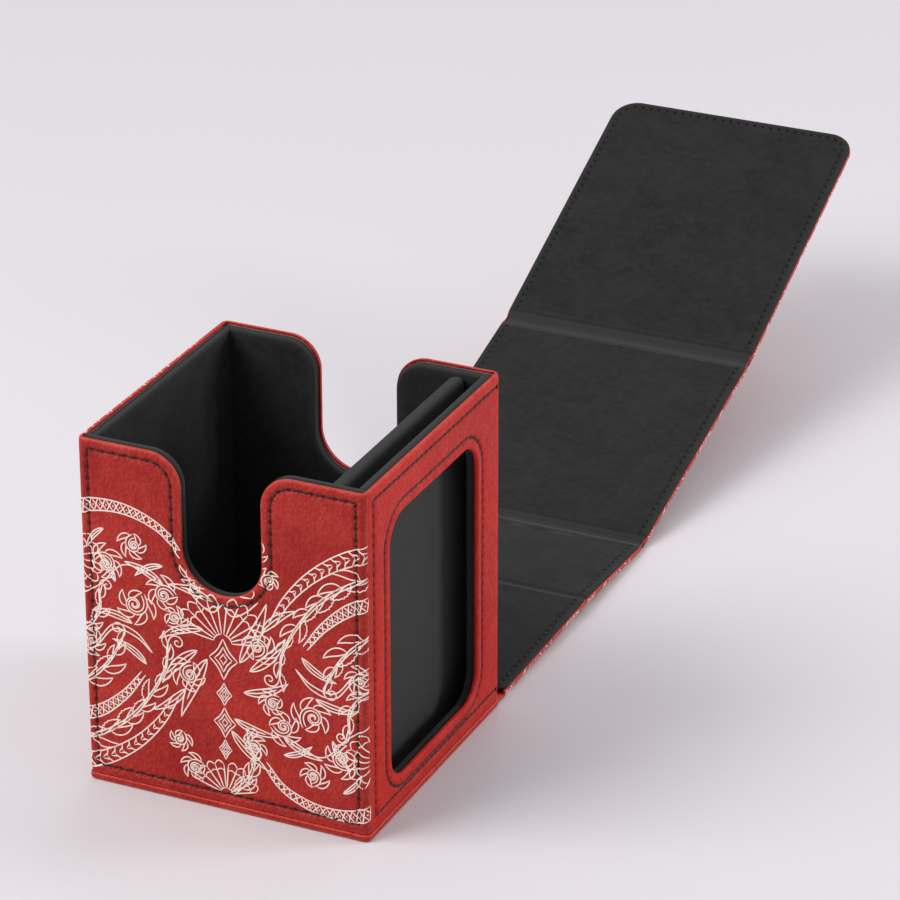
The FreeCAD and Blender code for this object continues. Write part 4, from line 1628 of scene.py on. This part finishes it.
def turned_up(gap, away, points, out):
    """Folds a flat sheet up round its free edge. Returns (across, along) points and heights."""
    arc = FLAP_BEND * math.pi / 2
    past = np.clip(gap, 0, None)
    turning = np.minimum(past, arc) / FLAP_BEND
    straight = np.clip(past - arc, 0, None)
    foot = points - away * past[:, None]
    reach = FLAP_BEND + out
    shift = np.where(past > 0, reach * np.sin(turning), 0.0)
    height = np.where(past > 0, FLAP_FOOT + FLAP_BEND - reach * np.cos(turning) + straight, FLAP_FOOT - out)
    return foot + away * shift[:, None], height


def on_panel_leather(panel):
    """Placing function for a panel's outer leather: heights are measured outwards, away from the lining."""
    def place(points, out):
        gap, away = wrap_gap(panel, points)
        spots, heights = turned_up(gap, away, points, out)
        rise = crease_drop(panel, points[:, 1], CREASE_FOOT - FLAP_FOOT) * (1 - smooth(gap / 0.9))
        return panel.place(spots, heights + rise)
    return place


FLAP_SKIN = 0.55


def make_panel_leather(panel, seed):
    """Outer leather of one panel, turned up round its free edges."""
    place = on_panel_leather(panel)

    def corners(edge):
        return wrap_corners(panel, edge)

    loop = rounded_outline(corners(0), 1.4)
    seam = flap_seam(panel, FLAP_HALF_WIDTH, 0)
    rows = cross_rows(FLAP_WRAP, slope_places(panel, True))
    lines = insets(corners, WRAP_STEPS, 1.4) + flap_seam_lines(panel, FLAP_HALF_WIDTH) + rows
    border = rounded_outline(corners(0), 200)
    spots = scattered([loop], [(border, True)] + [(line, False) for line in seam], 2.2, 2.6)

    def top(points):
        relief = flap_relief(panel, points, FLAP_HALF_WIDTH, seed, 0.06)[0]
        flat = points[:, 0] ** 2 < (FLAP_HALF_WIDTH - 0.5) ** 2
        return np.where(flat, relief, 0.0)

    def values(points):
        hole, groove = flap_relief(panel, points, FLAP_HALF_WIDTH, seed, 0.06)[2:4]
        free = rounded_outline(wrap_corners(panel, 0, PAST_CREASE), 200)
        return {"wear": np.exp(-(nearest(points, free)[0] / 1.2) ** 2),
                # Painted shade: the needle holes, and a little of the seam groove, are painted dark.
                "seam": np.clip(hole * 1.1 + 0.1 * groove, 0, 1)}

    piece = make_shell(panel.name + "_leather", [loop], lines, spots, top, level(-FLAP_SKIN), place,
                       under_lines=insets(corners, WRAP_UNDER_STEPS, 3.0) + rows, values=values)
    finish(piece, panel.name, "leather", "leather", panel.name + "_cover")
    for line in seam:
        sew(panel.name, [], line, False, FLAP_STITCH_PITCH, place, -0.10)
    ornament = wall_lines(FLAP_WRAP + 1, panel.start - 4, panel.start + 96, seed)
    make_print(panel.name + "_print", ornament, [rounded_outline(corners(0.12), 2.0)], place, top, panel.name)


def make_crease(first, second, strip):
    """Lining and leather across the crease between two panels, bending from one to the other."""
    ahead = np.array((math.cos(first.pitch), math.sin(first.pitch)))
    reach = (second.origin - first.origin) @ ahead
    back = first.end - reach
    gap = second.start - back
    turn = second.pitch - first.pitch
    depth = min(0.75, gap * 0.16)
    half = FLAP_HALF_WIDTH - FLAP_LINING_INSET
    places = np.linspace(back, second.start, max(5, math.ceil(gap / 0.4)))[1:-1]

    def place_at(points, heights):
        share = smooth((points[:, 1] - back) / gap)
        return raised(second.origin, first.pitch + turn * share, points, heights)

    def place_leather(points, out):
        away = np.column_stack([np.sign(points[:, 0]), np.zeros(len(points))])
        past = np.abs(points[:, 0]) - FLAP_FLAT
        spots, heights = turned_up(past, away, points, out)
        return place_at(spots, heights + (CREASE_FOOT - FLAP_FOOT) * (1 - smooth(past / 0.9)))

    def dip(points):
        t = np.clip((points[:, 1] - back) / gap, 0, 1)
        return np.sin(math.pi * t) ** 2

    def lining_top(points):
        return CREASE_TOP - depth * dip(points) - rounding(half - np.abs(points[:, 0]), 0.95) * 0.8

    def outline(width):
        return [rounded_outline(rectangle(-width, width, back, second.start), 1.4)]

    def rows(width, steps):
        return side_rows(width, back, second.start, steps) + cross_rows(width, places)

    # The crease lining is painted paler all across, palest in the middle of its dip, and the crease leather is a
    # little paler in its dip.
    suede = make_shell(strip + "_suede", outline(half), rows(half, LINING_STEPS), (), lining_top,
                       level(-0.25), place_at, under_lines=cross_rows(half, places),
                       values=lambda points: {"wear": 0.8 + 0.2 * dip(points), "seam": 0 * points[:, 0]})
    leather = make_shell(strip + "_leather", outline(FLAP_WRAP), rows(FLAP_WRAP, WRAP_STEPS), (),
                         lambda points: -depth * dip(points) * 0.6, level(-FLAP_SKIN), place_leather,
                         under_lines=rows(FLAP_WRAP, WRAP_UNDER_STEPS),
                         values=lambda points: {"wear": 0.15 * dip(points), "seam": 0 * points[:, 0]})
    ends = first_and_last(first, second, back)
    for piece, slot, nodes in ((suede, "lining", ()), (leather, "leather", (strip,))):
        finish(piece, None, slot, slot, *nodes)
        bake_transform(piece, first.name, second.name, *ends)


def first_and_last(first, second, back):
    """The two points between which a crease turns."""
    angle = first.pitch
    start = second.origin + back * np.array((math.cos(angle), math.sin(angle)))
    end = second.origin + second.start * np.array((math.cos(second.pitch), math.sin(second.pitch)))
    return (0, start[0] * MM, start[1] * MM), (0, end[0] * MM, end[1] * MM)


def make_base_hinge():
    """Leather that joins the base tray to the flap, bare on both sides."""
    panel = PANELS[0]
    back = node_box("base_cover")[1][1] - panel.origin[0] - 0.5
    gap = panel.start + 0.25 - back
    half = FLAP_HALF_WIDTH

    def across(points):
        return np.clip((points[:, 1] - back) / gap, 0, 1)

    def place(points, heights):
        share = smooth((points[:, 1] - back) / gap)
        return raised(panel.origin, panel.pitch * share, points, heights)

    def face(side):
        """Heights of the upper face for side 1, and of the lower one for side -1."""
        def height(points):
            t = across(points)
            middle = -0.15 - 0.65 * smooth(t)
            thick = 0.46 - 0.04 * np.sin(math.pi * t)
            return middle + side * thick - side * rounding(half - np.abs(points[:, 0]), 0.4)
        return height

    loop = rounded_outline(rectangle(-half, half, back, back + gap), 1.4)
    lines = cross_rows(half, np.linspace(back, back + gap, 12)[1:-1])
    lines += side_rows(half, back, back + gap, (0.08, 0.2, 0.4))
    piece = make_shell("base_hinge_leather", [loop], lines, (), face(1), face(-1), place, under_lines=lines,
                       values=lambda points: {"wear": 0.3 * np.sin(math.pi * across(points)),
                                              "seam": 0 * points[:, 0]})
    finish(piece, None, "leather", "leather", "base_hinge_strip")
    end = panel.origin + panel.start * np.array((math.cos(panel.pitch), math.sin(panel.pitch)))
    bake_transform(piece, "box", "back_lower", (0, (panel.origin[0] + back + 0.5) * MM, panel.origin[1] * MM),
             (0, end[0] * MM, end[1] * MM))


# ---------------------------------------------------------------- build

make_notched_leather("front", "front_cover", FRONT_MIDDLE, WRAPPED, WRAPPED, 11)
make_notched_leather("back", "back_cover", BACK_MIDDLE, WRAPPED, STRAIGHT_X - LAP, 12, LIP_RIM)
make_side_leather()
make_window_leather()
make_notched_lining("front", -1, 21, 0.0, SKIN + 0.1)
make_notched_lining("back", 1, 22, LIP_DROP, LIP + 0.1)
make_plain_lining("side", -1, 23, False, LIP_DROP, LIP + 0.1)
make_plain_lining("window", 1, 24, True, 0.0, SKIN + 0.1)
make_base_tray()
make_base_lining()
make_divider_wrap()

for number, panel in enumerate(PANELS):
    make_panel_lining(panel, 41 + number)
    make_panel_leather(panel, 51 + number)
make_crease(PANELS[0], PANELS[1], "back_crease_strip")
make_crease(PANELS[1], PANELS[2], "rear_crease_strip")
make_crease(PANELS[2], PANELS[3], "front_crease_strip")
make_base_hinge()
make_stitches()

for name, node in frame["nodes"].items():
    kind = "magnet" if name.endswith("magnets") else "board"
    node.data.materials.clear()
    node.data.materials.append(materials[kind])


# ---------------------------------------------------------------- floor, light and camera

FLOOR_COLOUR = (0.665, 0.645, 0.675)


def make_floor():
    """A plain pale floor that runs far out on every side."""
    mesh = bpy.data.meshes.new("studio_floor")
    mesh.from_pydata([(-6, -6, 0), (6, -6, 0), (6, 6, 0), (-6, 6, 0)], [], [(0, 1, 2, 3)])
    mesh.materials.append(paper_floor_material(FLOOR_COLOUR))
    floor = bpy.data.objects.new("studio_floor", mesh)
    bpy.context.scene.collection.objects.link(floor)


def make_light(name, place, aim, size, power, colour):
    """A square soft light, facing aim."""
    lamp = bpy.data.lights.new(name, "AREA")
    lamp.size = size
    lamp.energy = power
    lamp.color = colour
    light = bpy.data.objects.new(name, lamp)
    bpy.context.scene.collection.objects.link(light)
    light.location = place
    light.rotation_euler = (Vector(aim) - Vector(place)).to_track_quat("-Z", "Y").to_euler()


def make_world(colour, strength):
    world = bpy.data.worlds.new("studio")
    world.use_nodes = True
    background = world.node_tree.nodes["Background"]
    background.inputs["Color"].default_value = colour
    background.inputs["Strength"].default_value = strength
    bpy.context.scene.world = world


def make_camera(place, aim, lens, roll):
    """A long lens, turned by roll degrees about its own axis."""
    camera = bpy.data.objects.new("camera", bpy.data.cameras.new("camera"))
    bpy.context.scene.collection.objects.link(camera)
    camera.data.lens = lens
    camera.data.clip_end = 50
    camera.location = place
    facing = (Vector(aim) - Vector(place)).to_track_quat("-Z", "Y").to_matrix()
    camera.rotation_euler = (facing @ Matrix.Rotation(math.radians(roll), 3, "Z")).to_euler()
    bpy.context.scene.camera = camera


make_floor()
make_world((0.93, 0.92, 0.95, 1), 0.56)
make_light("key_light", (-0.85, -0.8, 1.15), (0, 0.05, 0.05), 1.0, 21, (1.0, 0.985, 0.965))
make_light("side_light", (1.1, 0.62, 0.42), (0.04, 0, 0.05), 0.45, 8.5, (1.0, 0.98, 0.97))
make_light("back_light", (-0.2, 1.3, 1.1), (0, 0.1, 0.05), 0.9, 4.0, (0.97, 0.98, 1.0))
make_camera((0.49786, -0.97356, 0.61319), (0.0, 0.10276, 0.04638), 176.9, -0.07)
bpy.context.scene.view_settings.view_transform = "Standard"
